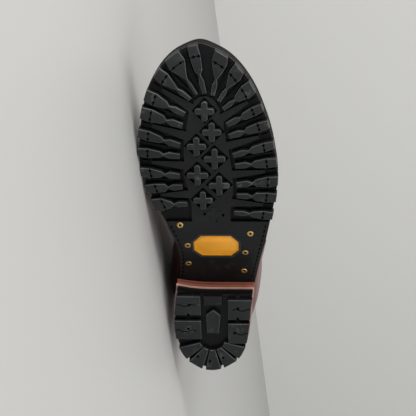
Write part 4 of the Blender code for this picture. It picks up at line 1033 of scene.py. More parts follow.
def fitting_stations(last):
    """Places of the eyelet and hook pairs along the throat, evenly spaced in length."""
    samples = [THROAT_START + (last.end - THROAT_START) * k / 120 for k in range(121)]
    distance = THROAT_HALF_WIDTH + EYESTAY_WIDTH / 2
    reach = distances([surface_frame(last, s, 1, distance)[0] for s in samples])
    pairs = EYELET_PAIRS + HOOK_PAIRS
    places = []
    for k in range(pairs):
        index, part = locate(reach, END_MARGIN + (reach[-1] - 2 * END_MARGIN) * k / (pairs - 1))
        places.append(samples[index - 1] + (samples[index] - samples[index - 1]) * part)
    return places


class BootColours(bpy.types.PropertyGroup):
    """Colours of the boot, linear."""

    rubber: bpy.props.FloatVectorProperty(
        name="Rubber", description="Worn face of the sole's lugs", subtype="COLOR", size=3,
        min=0.0, max=1.0, default=(0.0100, 0.0107, 0.0112))
    # Painted shade: rubber down in the tread takes this darker colour where shade falls
    groove_shade: bpy.props.FloatVectorProperty(
        name="Groove", description="Rubber down in the tread", subtype="COLOR", size=3,
        min=0.0, max=1.0, default=(0.0022, 0.0022, 0.0024))
    leather: bpy.props.FloatVectorProperty(
        name="Upper leather", description="Leather of the upper", subtype="COLOR", size=3,
        min=0.0, max=1.0, default=(0.105, 0.022, 0.011))
    stack: bpy.props.FloatVectorProperty(
        name="Heel leather", description="Stacked leather of the heel", subtype="COLOR", size=3,
        min=0.0, max=1.0, default=(0.30, 0.085, 0.045))
    edge: bpy.props.FloatVectorProperty(
        name="Edge leather", description="Dressed edge of midsole and welt", subtype="COLOR",
        size=3, min=0.0, max=1.0, default=(0.007, 0.0055, 0.005))
    brass: bpy.props.FloatVectorProperty(
        name="Brass", description="Eyelets, hooks and nails", subtype="COLOR", size=3,
        min=0.0, max=1.0, default=(0.62, 0.42, 0.15))
    badge: bpy.props.FloatVectorProperty(
        name="Badge", description="Bare plate in the waist", subtype="COLOR", size=3,
        min=0.0, max=1.0, default=(0.86, 0.36, 0.015))
    lace: bpy.props.FloatVectorProperty(
        name="Lace", description="Braided lace", subtype="COLOR", size=3,
        min=0.0, max=1.0, default=(0.12, 0.018, 0.012))
    thread: bpy.props.FloatVectorProperty(
        name="Thread", description="Seams of the upper", subtype="COLOR", size=3,
        min=0.0, max=1.0, default=(0.42, 0.24, 0.12))


class BootSizes(bpy.types.PropertyGroup):
    """Sizes of the details."""

    bevel: bpy.props.FloatProperty(
        name="Lug edge", description="Rounding of the lugs' edges", unit="LENGTH",
        default=0.0006, min=0.0002, max=0.0010)
    channel: bpy.props.FloatProperty(
        name="Channel", description="Distance of the sole's seam from its edge", unit="LENGTH",
        default=0.0085, min=0.006, max=0.012)
    crease: bpy.props.FloatProperty(
        name="Creases", description="Depth of the creases in the leather", unit="LENGTH",
        default=0.0011, min=0.0, max=0.002)
    stitch: bpy.props.FloatProperty(
        name="Stitch", description="Length from one stitch to the next", unit="LENGTH",
        default=0.0036, min=0.003, max=0.006)


class Sum:
    """Socket of a shader that takes part in Python sums."""

    def __init__(self, maker, socket):
        self.maker = maker
        self.socket = socket

    def math(self, operation, first, second, **settings):
        """Result of a sum, a difference or a product."""
        return self.maker.node("ShaderNodeMath", {"operation": operation, **settings},
                               {0: first, 1: second})

    def __add__(self, other):
        return self.math("ADD", self, other)

    def __radd__(self, other):
        return self.math("ADD", other, self)

    def __sub__(self, other):
        return self.math("SUBTRACT", self, other)

    def __rsub__(self, other):
        return self.math("SUBTRACT", other, self)

    def __mul__(self, other):
        return self.math("MULTIPLY", self, other)

    def __rmul__(self, other):
        return self.math("MULTIPLY", other, self)

    def clamp(self):
        """Value kept from 0 to 1."""
        return self.math("ADD", self, 0.0, use_clamp=True)


class Finish:
    """Node tree of one material."""

    def __init__(self, name, roughness=0.5, metallic=0.0, **sockets):
        self.material = bpy.data.materials.new(name)
        self.material.use_nodes = True
        self.tree = self.material.node_tree
        self.shader = self.tree.nodes["Principled BSDF"]
        self.shader.inputs["Roughness"].default_value = roughness
        self.shader.inputs["Metallic"].default_value = metallic
        for socket, value in sockets.items():
            self.shader.inputs[socket.replace("_", " ")].default_value = value

    def node(self, kind, settings=None, sockets=None, output=0):
        """Output of a new node, from its settings and the values or links of its sockets."""
        made = self.tree.nodes.new(kind)
        for key, value in (settings or {}).items():
            setattr(made, key, value)
        for key, value in (sockets or {}).items():
            if isinstance(value, Sum):
                self.tree.links.new(value.socket, made.inputs[key])
            else:
                made.inputs[key].default_value = value
        return Sum(self, made.outputs[output])

    def place(self):
        """Coordinates of the object."""
        return self.node("ShaderNodeTexCoord", None, None, 3)

    def noise(self, scale, detail=3.0, rough=0.55):
        """Cloudy pattern, its features smaller with scale."""
        return self.node("ShaderNodeTexNoise", None, {"Vector": self.place(), "Scale": scale,
                                                      "Detail": detail, "Roughness": rough})

    def cells(self, scale):
        """Distance to the middle of the nearest cell."""
        return self.node("ShaderNodeTexVoronoi", {"feature": "F1"},
                         {"Vector": self.place(), "Scale": scale})

    def mark(self, name):
        """Value that the mesh holds at its vertices."""
        return self.node("ShaderNodeAttribute", {"attribute_name": name}, None, 2)

    def mix(self, share, first, second):
        """Mix of two colours."""
        first, second = (value if isinstance(value, Sum) else (*value, 1.0)
                         for value in (first, second))
        return self.node("ShaderNodeMix", {"data_type": "RGBA"}, {0: share, 6: first, 7: second}, 2)

    def tones(self, share, shade, low, high):
        """Mix of two tones of a colour."""
        return self.mix(share, tone(shade, low), tone(shade, high))

    def feed(self, **values):
        """Link sockets of the shader and return the material."""
        for key, value in values.items():
            self.tree.links.new(value.socket, self.shader.inputs[key.replace("_", " ")])
        return self.material

    def bump(self, height, strength, distance):
        """Fine relief from a height."""
        self.feed(Normal=self.node("ShaderNodeBump", None, {"Height": height, "Strength": strength,
                                                            "Distance": distance}))


def colour(name):
    """Colour that the user has set."""
    return tuple(getattr(bpy.context.scene.boot_colours, name))


def size(name):
    """Size that the user has set."""
    return getattr(bpy.context.scene.boot_sizes, name)


def tone(shade, share):
    """Colour made darker, or lighter with a share over 1."""
    return tuple(value * share for value in shade)


def rubber_finish():
    """Rubber, dark with painted shade in the grooves, scuffed on the ground faces and with a
    painted highlight on the lugs' rounded edges.
    """
    made = Finish("sole rubber", 0.5, Specular_IOR_Level=0.14, Coat_Roughness=0.25)
    worn = made.mark("worn")
    cloud = made.noise(22.0, 4.0)
    speck = made.noise(420.0, 2.0, 0.6)
    scuff = made.noise(95.0, 5.0, 0.7)
    face = made.tones((cloud * 2.2 - 0.6).clamp(), colour("rubber"), 0.62, 1.5)
    dusty = ((scuff - 0.58) * 9.0).clamp() * 0.60 * worn
    face = made.mix(dusty.clamp(), face, DUST_SHADE)
    # Painted highlight: a light band along the lugs' rounded edges, patchy with the scuff pattern
    rim = ((1.0 - worn) * 14.0).clamp() * ((worn - 0.90) * 12.0).clamp() * scuff
    face = made.mix((rim * 2.6).clamp(), face, EDGE_HIGHLIGHT_SHADE)
    # Painted shade: the tread turns to the groove colour towards its floors
    deep = made.mix(((worn - 0.30) * 2.0).clamp(), colour("groove_shade"), face)
    made.bump(speck * 0.4 + scuff * 0.6, 0.45, 0.0007)
    return made.feed(Base_Color=deep, Roughness=(0.30 + cloud * 0.20 + dusty * 0.6).clamp(),
                     Coat_Weight=(worn * 0.22 + 0.04 - dusty).clamp())


def leather_finish(name, shade):
    """Grained leather with darker and lighter clouds."""
    made = Finish(name, 0.42, Coat_Roughness=0.28)
    cloud = made.noise(9.0, 4.0)
    mottle = made.noise(60.0, 4.0, 0.6)
    grain = made.cells(620.0)
    fine = made.noise(240.0, 4.0, 0.6)
    base = made.tones((cloud * 1.7 - 0.4).clamp(), shade, 0.55, 1.35)
    base = made.mix(((mottle - 0.52) * 3.0).clamp() * 0.35, base, tone(shade, 2.1))
    made.bump(grain * 0.55 + fine * 0.6, 0.30, 0.0005)
    return made.feed(Base_Color=base, Roughness=(0.30 + mottle * 0.22).clamp(),
                     Coat_Weight=(0.30 - cloud * 0.15).clamp())


def stack_finish(name, shade, shine=0.5):
    """Cut edge of sole leather with its fibres."""
    made = Finish(name, 0.55, Specular_IOR_Level=shine)
    fibre = made.noise(130.0, 5.0, 0.65)
    cloud = made.noise(30.0, 3.0)
    base = made.tones((cloud * 1.6 - 0.3).clamp(), shade, 0.6, 1.25)
    base = made.mix(((fibre - 0.55) * 4.0).clamp() * 0.5, base, tone(shade, 0.35))
    made.bump(fibre, 0.5, 0.0005)
    return made.feed(Base_Color=base, Roughness=(0.42 + fibre * 0.3).clamp())


def brass_finish():
    """Brass with a spotty tarnish."""
    made = Finish("brass", 0.35, 1.0)
    tarnish = made.noise(260.0, 4.0, 0.6)
    base = made.tones(((tarnish - 0.42) * 3.2).clamp(), colour("brass"), 1.0, 0.40)
    return made.feed(Base_Color=base, Roughness=(0.28 + tarnish * 0.3).clamp())


def badge_finish():
    """Painted plate, a little uneven."""
    made = Finish("badge", 0.4)
    cloud = made.noise(60.0, 4.0)
    base = made.tones((cloud * 1.5 - 0.3).clamp(), colour("badge"), 0.80, 1.08)
    made.bump(made.noise(500.0, 3.0), 0.25, 0.0003)
    return made.feed(Base_Color=base, Roughness=(0.35 + cloud * 0.2).clamp())


def lace_finish():
    """Braided cord."""
    made = Finish("lace", 0.8)
    weave = made.cells(900.0)
    made.bump(weave, 0.6, 0.0005)
    return made.feed(Base_Color=made.tones((weave * 1.6).clamp(), colour("lace"), 1.5, 0.5))


def plain_finish(name, shade, roughness=0.6, shine=0.5):
    """Quiet surface of small pieces."""
    made = Finish(name, roughness, Specular_IOR_Level=shine)
    return made.feed(Base_Color=made.tones(made.noise(180.0, 3.0), shade, 0.7, 1.2))


def hole_finish(name):
    """Painted shade: black without shine in holes, slits and the seam channel of the rubber, also
    given to the waist stitches.
    """
    return plain_finish(name, HOLE_PAINTED_SHADE, 0.9, 0.0)


def put(name, bm, finish, nodes=(), sharp=32.0):
    """Piece of the boot from a bmesh in the standing frame."""
    bmesh.ops.recalc_face_normals(bm, faces=bm.faces)
    limit = math.radians(sharp)
    for face in bm.faces:
        face.smooth = True
    for edge in bm.edges:
        edge.smooth = len(edge.link_faces) == 2 and edge.calc_face_angle(0.0) < limit
    mesh = bpy.data.meshes.new(name)
    bm.to_mesh(mesh)
    bm.free()
    mesh.transform(STANDING)
    mesh.materials.append(finish)
    made = bpy.data.objects.new(name, mesh)
    bpy.context.collection.objects.link(made)
    if nodes:
        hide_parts(*nodes)
    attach(made, "root")
    return made


def dress(names, finish):
    """Give CAD nodes that stay in sight their finish."""
    for name in names:
        mesh = NODES[name].data
        mesh.materials.clear()
        mesh.materials.append(finish)


def new_wear_and_light():
    """Bmesh with a mark for wear, painted shade and painted highlights, 0 in the grooves and 1 on
    the ground.
    """
    bm = bmesh.new()
    bm.verts.layers.float.new("worn")
    return bm


def mark_wear_and_light(bm, depth):
    """Write the mark for wear, painted shade and painted highlights of a tread of this depth."""
    worn = bm.verts.layers.float["worn"]
    for vert in bm.verts:
        vert[worn] = min(max(1.0 - vert.co.z / depth, 0.0), 1.0)


def block(bm, loop, low, high, bevel):
    """Closed tread block, ground face at the low level, with a rounded edge."""
    area = sum(a.x * b.y - b.x * a.y for a, b in zip(loop, loop[1:] + loop[:1]))
    if area < 0:
        loop = list(reversed(loop))
    prism(bm, [(inward(loop, bevel), low), (inward(loop, bevel * 0.3), low + bevel * 0.4),
               (loop, low + bevel), (inward(loop, -BLOCK_FLARE), high)])


def strip(bm, points, width, low, high):
    """Closed narrow band along a line of points on the sole."""
    left, right = [], []
    for index, point in enumerate(points):
        before = points[max(index - 1, 0)]
        after = points[min(index + 1, len(points) - 1)]
        along = (after - before).normalized()
        across = Vector((-along.y, along.x)) * (width / 2)
        left.append(point + across)
        right.append(point - across)
    upright(bm, left + list(reversed(right)), low, high)


def sole_stitches(sizes, low, high, stretch=(-1.0, 2.0)):
    """Row of stitches along the sole's edge, within a stretch of the sole."""
    pitch, length, width = sizes
    bm = bmesh.new()
    line = inward(closed_curve(sole_points(), LINE_STEPS), SEAM_INSET)
    gone = 0.0
    for before, after in zip(line, line[1:]):
        gone += (after - before).length
        if gone > pitch and stretch[0] < after.y / SOLE_LENGTH < stretch[1]:
            gone = 0.0
            half = (after - before).normalized() * (length / 2)
            strip(bm, [after - half, after + half], width, low, high)
    bend_only(bm)
    return bm


def inside(loop, point):
    """Whether a point lies in a flat loop."""
    hit = False
    for a, b in zip(loop, loop[1:] + loop[:1]):
        if (a.y > point.y) != (b.y > point.y):
            if point.x < (b.x - a.x) * (point.y - a.y) / (b.y - a.y) + a.x:
                hit = not hit
    return hit


def runs_inside(points, loop):
    """Stretches of a line of points that lie in a loop."""
    runs, current = [], []
    for point in points:
        if inside(loop, point):
            current.append(point)
        else:
            if len(current) > 2:
                runs.append(current)
            current = []
    if len(current) > 2:
        runs.append(current)
    return runs


def groove_ribs(edge):
    """Ends of the thin ribs on the floors of the open grooves."""
    ribs = []
    for side in (1, -1):
        rows = lug_rows(side)
        for index, (first, second) in enumerate(zip(rows, rows[1:])):
            start = (edge.at(side, first[1], first[2] * BALL_WIDTH / 2)
                     + edge.at(side, second[1], -second[2] * BALL_WIDTH / 2)) / 2
            axis = (on_sole(*first[5:]) + on_sole(*second[5:])) / 2 - start
            reach = RIB_END_AT_TONGUE if index in TONGUE_AFTER else RIB_END
            ribs.append((start + axis * RIB_START, start + axis * reach))
    return ribs


def tread_layer(edge):
    """Raised middle and waist of the sole with their recesses."""
    middle = bmesh.new()
    upright(middle, plateau_outline(edge), PLATEAU_LEVEL, TREAD_TOP)
    waist = bmesh.new()
    upright(waist, waist_outline(), PLATEAU_LEVEL, TREAD_TOP + GAP)
    layer = combine(middle, waist, "UNION")
    pockets = bmesh.new()
    for x, y, reach in CROSSES:
        diamond = circle(on_sole(x, y), reach * BALL_WIDTH + DIAMOND_MARGIN, 4)
        upright(pockets, diamond, CUT_START, 2 * LUG_DEPTH)
    for centre in nail_places():
        pocket = circle(centre, NAIL_RADIUS + GAP, 24)
        upright(pockets, pocket, CUT_START, PLATEAU_LEVEL + NAIL_DEPTH)
    upright(pockets, badge_outline(2 * GAP), CUT_START, PLATEAU_LEVEL + 2 * GAP + BADGE_THICKNESS)
    return combine(layer, pockets, "DIFFERENCE")


def add_to(bm, other):
    """Append the closed solids of another bmesh."""
    mesh = bpy.data.meshes.new("piece")
    other.to_mesh(mesh)
    other.free()
    bm.from_mesh(mesh)
    bpy.data.meshes.remove(mesh)


def build_outsole():
    """Rubber outsole with rounded lugs, ribs and crosses."""
    edge = SoleEdge()
    bevel = size("bevel")
    body = tread_layer(edge)
    rims = [e for e in body.edges if len(e.link_faces) == 2 and e.calc_face_angle(0.0) > 1.0
            and all(v.co.z < PLATEAU_LEVEL + 1e-5 for v in e.verts)]
    bmesh.ops.bevel(body, geom=rims, offset=TREAD_ROUND, segments=1, affect="EDGES",
                    clamp_overlap=True)
    base = new_wear_and_light()
    add_to(base, body)
    loop = sole_loop(EDGE_STEP, 5)
    prism(base, [(loop, LUG_DEPTH), (loop, OUTSOLE_TOP - EDGE_ROUND),
                 (inward(loop, EDGE_ROUND), OUTSOLE_TOP)])
    for row in LUGS:
        block(base, lug_outline(edge, row), 0.0, TREAD_TOP, bevel)
    for x, y, reach in CROSSES:
        block(base, cross_outline(on_sole(x, y), reach * BALL_WIDTH), 0.0, TREAD_TOP, bevel)
    x, y, reach = FADING_CROSS
    block(base, cross_outline(on_sole(x, y), reach * BALL_WIDTH), PLATEAU_LEVEL - FADING_RISE,
          PLATEAU_LEVEL + LUG_ROOT, TREAD_ROUND)
    for start, end in groove_ribs(edge):
        axis = (end - start).normalized()
        across = Vector((-axis.y, axis.x)) * RIB_HALF_WIDTH
        loop = [start - across, end - across, end + across, start + across]
        block(base, loop, LUG_DEPTH - RIB_HEIGHT, TREAD_TOP, TREAD_ROUND)
    mark_wear_and_light(base, LUG_DEPTH)
    bend(base)
    put("outsole", base, rubber_finish(), ("outsole",), RUBBER_SHARP)


def build_seams():
    """Seam channel, stitch holes and pits of the outsole as dark marks of painted shade, and its
    waist stitches in the same black.
    """
    edge = SoleEdge()
    bm = bmesh.new()
    line = inward(closed_curve(sole_points(), LINE_STEPS), size("channel"))
    for row in LUGS:
        for run in runs_inside(line, lug_outline(edge, row)):
            strip(bm, run, CHANNEL_WIDTH, -CHANNEL_PROUD, MARK_DEPTH)
            count = 2 if len(run) > LONG_RUN else 1
            for number in range(count):
                spot = run[int((number + 0.5) / count * len(run))]
                upright(bm, circle(spot, CHANNEL_HOLE, 10), -HOLE_PROUD, MARK_DEPTH)
    for x, y, radius in PITS:
        upright(bm, circle(on_sole(x, y), radius, 12), PLATEAU_LEVEL - PIT_PROUD,
                PLATEAU_LEVEL + MARK_DEPTH)
    bend_only(bm)
    put("seam_channel", bm, hole_finish("channel"))
    low, high = (PLATEAU_LEVEL + level for level in WAIST_STITCH_LEVELS)
    bm = sole_stitches(WAIST_STITCH, low, high, WAIST_SEAM)
    put("waist_stitches", bm, hole_finish("waist thread"))


def build_nails():
    """Turned hollow nail heads and the badge with its rubber rim."""
    finish = brass_finish()
    turned = [(radius, PLATEAU_LEVEL + level) for radius, level in NAIL_PROFILE]
    for number, centre in enumerate(nail_places(), 1):
        bm = bmesh.new()
        lathe(bm, centre, turned, 24)
        bend_only(bm)
        put(f"nail_{number}", bm, finish, (f"nail_{number}",))
    bm = bmesh.new()
    low = PLATEAU_LEVEL + BADGE_SINK
    loop = badge_outline()
    prism(bm, [(inward(loop, BADGE_ROUND), low), (loop, low + BADGE_ROUND_DEPTH),
               (loop, low + BADGE_THICKNESS)])
    outer, inner = (badge_outline(-less) for less in BADGE_LINE)
    ring_prism(bm, outer, inner, low - BADGE_LINE_RISE, low + BADGE_LINE_RISE)
    bend(bm)
    put("badge_plate", bm, badge_finish(), ("badge_plate",), LEATHER_SHARP)
    rim = bmesh.new()
    outer, inner = (badge_outline(more) for more in BADGE_RIM)
    low, high = (PLATEAU_LEVEL + level for level in BADGE_RIM_LEVELS)
    ring_prism(rim, outer, inner, low, high)
    bend(rim)
    put("badge_rim", rim, plain_finish("rim rubber", BADGE_RIM_SHADE, 0.5))


def build_edges():
    """Midsole and welt with rounded edges, and the insole's finish."""
    finish = stack_finish("edge leather", colour("edge"), EDGE_SHINE)
    bm = bmesh.new()
    slab(bm, sole_loop(EDGE_STEP / 2, 6), OUTSOLE_TOP + GAP, MIDSOLE_TOP, EDGE_ROUND)
    bend(bm)
    put("midsole", bm, finish, ("midsole",))
    bm = bmesh.new()
    low = MIDSOLE_TOP + GAP
    outer = sole_loop(0.0, 6)
    inner = sole_loop(WELT_WIDTH, 6)
    ring_solid(bm, [(inner, WELT_TOP), (inward(outer, WELT_ROUND), WELT_TOP),
                    (outer, WELT_TOP - WELT_ROUND), (outer, low + EDGE_ROUND),
                    (inward(outer, EDGE_ROUND), low), (inner, low)])
    bend(bm)
    put("welt", bm, finish, ("welt",))
    low, high = (WELT_TOP + level for level in WELT_STITCH_LEVELS)
    put("welt_stitches", sole_stitches(WELT_STITCH, low, high),
        plain_finish("welt thread", WELT_THREAD_SHADE, 0.7))
    dress(("insole",), stack_finish("insole leather", INSOLE_SHADE))


def build_heel():
    """Top piece with rounded blocks, slits and holes, over leather lifts."""
    outline = heel_loop(HEEL_TAPER)
    bevel = size("bevel")
    bm = new_wear_and_light()
    upright(bm, inward(outline, HEEL_CORE_INSET), HEEL_LUG_DEPTH, TOP_PIECE_THICKNESS)
    for loop in heel_blocks(outline):
        block(bm, loop, 0.0, HEEL_TREAD_TOP, bevel)
    block(bm, [Vector(corner) for corner in HEEL_PAD], HEEL_PAD_LEVEL, HEEL_TREAD_TOP, bevel)
    for pip in HEEL_PIPS:
        block(bm, circle(Vector(pip), HEEL_PIP_REACH, 4), HEEL_PIP_LEVEL, HEEL_TREAD_TOP, GAP)
    mark_wear_and_light(bm, HEEL_WEAR_AND_LIGHT_DEPTH)
    put("heel_top_piece", bm, rubber_finish(), ("heel_top_piece",), RUBBER_SHARP)
    # Holes and slits of the top piece are dark marks of painted shade
    bm = bmesh.new()
    for hole in HEEL_HOLES:
        upright(bm, circle(Vector(hole), HEEL_HOLE_RADIUS, 12), -HOLE_PROUD, HEEL_MARK_DEPTH)
    for side, low, high in HEEL_SLITS:
        middle = (low + high) / 2
        end = edge_at(outline, side, middle)
        start = Vector((SLIT_START * side, middle))
        bends = [start.lerp(end, t) + Vector((0.0, SLIT_WAVE * math.sin(t * SLIT_TURNS)))
                 for t in SLIT_SHARES]
        strip(bm, bends, SLIT_WIDTH, -SLIT_PROUD, HEEL_MARK_DEPTH)
    put("heel_sipes", bm, hole_finish("heel holes"))
    build_lifts()


def wedge(bm, loop, low):
    """Last lift, from its level up to the bent seat."""
    soft = inward(loop, LIFT_ROUND)
    prism(bm, [(soft, 0.0), (loop, 0.1), (loop, 0.9), (soft, 1.0)])
    cut_across(bm, WAIST_BACK)
    for vert in bm.verts:
        share = vert.co.z
        if share < 0.5:
            vert.co.z = low + share * LIFT_THICKNESS
        else:
            seat = PLATEAU_LEVEL + lift(vert.co.y) - GAP
            vert.co.z = seat - (1.0 - share) * LIFT_THICKNESS


def build_lifts():
    """Stacked leather lifts with rounded edges and their pale joint."""
    low = TOP_PIECE_THICKNESS + GAP
    for number, (taper, tones) in enumerate(zip(LIFT_TAPERS, LIFT_TONES), 1):
        loop = heel_loop(HEEL_TAPER * taper)
        bm = bmesh.new()
        if number < len(LIFT_TAPERS):
            slab(bm, loop, low, low + LIFT_THICKNESS - GAP, LIFT_ROUND)
        else:
            wedge(bm, loop, low)
        shade = [value * share for value, share in zip(colour("stack"), tones)]
        put(f"heel_lift_{number}", bm, stack_finish(f"lift {number}", shade),
            (f"heel_lift_{number}",), LEATHER_SHARP)
        low += LIFT_THICKNESS
    bm = bmesh.new()
    loop = [p + Vector((0.0, JOINT_FRONT)) if p.y > JOINT_FRONT_START else p
            for p in heel_loop(HEEL_TAPER * JOINT_TAPER)]
    low, high = (TOP_PIECE_THICKNESS + level for level in JOINT_LEVELS)
    upright(bm, inward(loop, -JOINT_PROUD), low, high)
    put("pale_joint", bm, stack_finish("pale joint", JOINT_SHADE))


def crease_depth(s, side, share):
    """How far the leather sinks or swells at a place."""
    total = 0.0
    for which, station, wide, middle, spread, depth in CREASES:
        if which in (0, side):
            away = abs(s - station) / wide
            fade = math.exp(-((share - middle) / spread) ** 2 * 2.2)
            ridge = CREASE_RIDGE * math.exp(-(away - CREASE_RIDGE_PLACE) ** 2 * 3.0)
            total += depth * fade * (math.exp(-away * away * 2.5) - ridge)
    return -total * size("crease")


def fine_row(last, s):
    """Points, sides and shares across one section."""
    row = []
    for side in (1, -1):
        points, reach = last.along(s, side)
        length = max(reach[-1], 1e-9)
        stay = throat_share(length, THROAT_HALF_WIDTH + EYESTAY_WIDTH)
        throat = throat_share(length, THROAT_HALF_WIDTH)
        shares = [stay * k / FINE_SIDE for k in range(FINE_SIDE + 1)]
        shares += [stay + (throat - stay) * k / FINE_STAY for k in range(1, FINE_STAY + 1)]
        shares += [throat + (1.0 - throat) * k / FINE_THROAT for k in range(1, FINE_THROAT + 1)]
        row.append([(point_at(points, reach, share), side, share) for share in shares])
    return row[0] + list(reversed(row[1][:-1]))


class Leather:
    """Fine grid over the upper's surface, from which its layers are cut."""

    def __init__(self, last):
        self.stations = []
        for low, high in zip(FOOT_STEPS, FOOT_STEPS[1:]):
            count = 2 if high - low < 0.7 else 3
            self.stations += [low + (high - low) * k / count for k in range(count)]
        legs = int(last.end - last.heel)
        self.stations += [last.heel + k / 4 for k in range(legs * 4 + 1)]
        rows = [fine_row(last, s) for s in self.stations]
        self.width = len(rows[0])
        self.verts, self.index, self.facts = [], [], []
        known = {}
        for s, row in zip(self.stations, rows):
            line = []
            for point, side, share in row:
                key = tuple(round(value * 2e5) for value in point)
                if key not in known:
                    known[key] = len(self.verts)
                    self.verts.append(point)
                    self.facts.append((s, side, share))
                line.append(known[key])
            self.index.append(line)
        self.soften()
        self.normals = self.vertex_normals()
        self.verts = [v + n * crease_depth(*fact)
                      for v, n, fact in zip(self.verts, self.normals, self.facts)]
        self.normals = self.vertex_normals()
        for station, line in zip(self.stations, self.index):
            if station <= last.heel:
                for k in (line[0], line[-1]):
                    y = self.verts[k].y
                    slope = (lift(y + GAP) - lift(y - GAP)) / (2 * GAP)
                    self.verts[k].z = FEATHER_LEVEL + lift(y)
                    self.normals[k].z = slope * self.normals[k].y
                    self.normals[k].normalize()

    def soften(self):
        """Even out the surface round the ankle, where foot and leg sections meet."""
        for _ in range(SOFT_ROUNDS):
            moved = list(self.verts)
            for i in range(1, len(self.stations) - 1):
                if not SOFT_STATIONS[0] < self.stations[i] < SOFT_STATIONS[1]:
                    continue
                for j in range(1, self.width - 1):
                    near = [self.verts[self.index[a][b]] for a, b in
                            ((i - 1, j), (i + 1, j), (i, j - 1), (i, j + 1))]
                    middle = (near[0] + near[1] + near[2] + near[3]) / 4
                    k = self.index[i][j]
                    moved[k] = self.verts[k].lerp(middle, SOFT_SHARE)
            self.verts = moved

    def quad(self, i, j):
        """Corners of a cell, each once."""
        kept = []
        for corner in (self.index[i][j], self.index[i][j + 1],
                       self.index[i + 1][j + 1], self.index[i + 1][j]):
            if corner not in kept:
                kept.append(corner)
        return kept

    def cells(self):
        """Row, column and corners of each cell that has an area."""
        for i in range(len(self.stations) - 1):
            for j in range(self.width - 1):
                quad = self.quad(i, j)
                if len(quad) >= 3:
                    yield i, j, quad

    def vertex_normals(self):
        """Outward normal at each vertex."""
        sums = [Vector() for _ in self.verts]
        for _, _, quad in self.cells():
            a, b, c = (self.verts[k] for k in quad[:3])
            normal = (b - a).cross(c - a)
            if len(quad) == 4:
                normal += (c - a).cross(self.verts[quad[3]] - a)
            for k in quad:
                sums[k] += normal
        return [total.normalized() for total in sums]

    def layer(self, wanted, low, high, rounding=0.0):
        """Closed solid between two offsets over the wanted cells, its rim rounded.

        Wanted gets a cell's station, its column counted from the nearer edge and whether it
        lies on the inner side.
        """
        bm = bmesh.new()
        count = self.width - 1
        faces = [quad for i, j, quad in self.cells()
                 if wanted(self.stations[i], min(j, count - 1 - j), j < count / 2)]
        borders = dict.fromkeys(pair for quad in faces for pair in zip(quad, quad[1:] + quad[:1]))
        rim = [(a, b) for a, b in borders if (b, a) not in borders]
        at_rim = {k for pair in rim for k in pair}
        used = sorted({k for quad in faces for k in quad})
        below = {k: bm.verts.new(self.verts[k] + self.normals[k] * low) for k in used}
        above = {k: bm.verts.new(self.verts[k] + self.normals[k]
                                 * (high - (rounding if k in at_rim else 0.0))) for k in used}
        for quad in faces:
            bm.faces.new([above[k] for k in quad])
            bm.faces.new([below[k] for k in reversed(quad)]).material_index = 1
        for a, b in rim:
            bm.faces.new((above[b], above[a], below[a], below[b]))
        return bm

    def at(self, i, j, mirror=False):
        """Point and normal of a grid place, mirrored for the outer side."""
        k = self.index[i][self.width - 1 - j if mirror else j]
        return self.verts[k], self.normals[k]

    def between(self, i, j, share, mirror):
        """Point between a column and its neighbour, with the column's normal."""
        here, normal = self.at(i, j, mirror)
        other, _ = self.at(i, j + (1 if share > 0 else -1), mirror)
        return here.lerp(other, abs(share)), normal


class Shell:
    """Nearest place of the fine surface, for what stands on it."""

    def __init__(self, leather):
        self.tree = BVHTree.FromPolygons(leather.verts, [quad for _, _, quad in leather.cells()])

    def on(self, point, normal):
        """Point dropped on the surface along a normal."""
        hit = self.tree.ray_cast(point + normal * 0.012, -normal, 0.03)
        return hit[0] if hit[0] is not None else point


def seam(bm, line, height):
    """Row of stitches at a height over a line of points with normals."""
    step = size("stitch")
    reach = distances([point for point, _ in line])

    def spot(distance):
        """Point and normal at a distance along the line."""
        index, part = locate(reach, distance)
        before, after = line[index - 1], line[index]
        return before[0].lerp(after[0], part), before[1].lerp(after[1], part).normalized()

    for number in range(int(reach[-1] / step)):
        start, normal = spot(number * step)
        end, _ = spot(number * step + step * STITCH_SHARE)
        axis = end - start
        if axis.length < 1e-5:
            continue
        across = axis.cross(normal).normalized() * (THREAD_WIDTH / 2)
        start = start + normal * height
        rise = normal * (THREAD_WIDTH * 0.45)
        ring = [start + across, start + rise, start - across, start - rise]
        tube(bm, [[bm.verts.new(p + shift) for p in ring] for shift in (Vector(), axis)])


def build_upper():
    """Upper, overlays, tongue and their seams."""
    last = Last()
    leather = Leather(last)
    shade = colour("leather")
    overlay = leather_finish("overlay leather", tone(shade, 0.88))
    stay = FINE_SIDE + FINE_STAY

    def add(name, wanted, low, high, finish, rounding=0.0):
        """Layer of leather as a piece."""
        return put(name, leather.layer(wanted, low, high, rounding), finish,
                   (name,), LEATHER_SHARP)

    upper = add("upper", lambda s, column, inner: s < THROAT_START or column < stay, -WALL, 0.0,
                leather_finish("upper leather", shade))
    upper.data.materials.append(leather_finish("lining leather", LINING_SHADE))
    for name, half in (("eyestay_inner", True), ("eyestay_outer", False)):
        add(name, lambda s, column, inner: s >= THROAT_START and inner == half
            and FINE_SIDE <= column < stay, 0.0, OVERLAY_TOP, overlay, OVERLAY_ROUND)
    add("tongue", lambda s, column, inner: s >= THROAT_START - 1 and column >= FINE_SIDE + 2,
        -WALL - GAP - TONGUE_THICKNESS, -WALL - GAP,
        leather_finish("tongue leather", tone(shade, 0.8)))
    start, past_heel = COUNTER_STATIONS
    shell = leather.layer(lambda s, column, inner: start <= s <= last.heel + past_heel
                          and column < FINE_SIDE, 0.0, OVERLAY_TOP)
    put("heel_counter", combine(shell, counter_cutter(), "INTERSECT"), overlay,
        ("heel_counter",), LEATHER_SHARP)
    add("back_stay", lambda s, column, inner: s >= last.heel + BACK_STAY_START
        and column < BACK_STAY_CELLS, 0.0, OVERLAY_TOP, overlay, OVERLAY_ROUND)
    put("upper_seams", upper_threads(last, leather),
        plain_finish("upper thread", colour("thread"), 0.6))


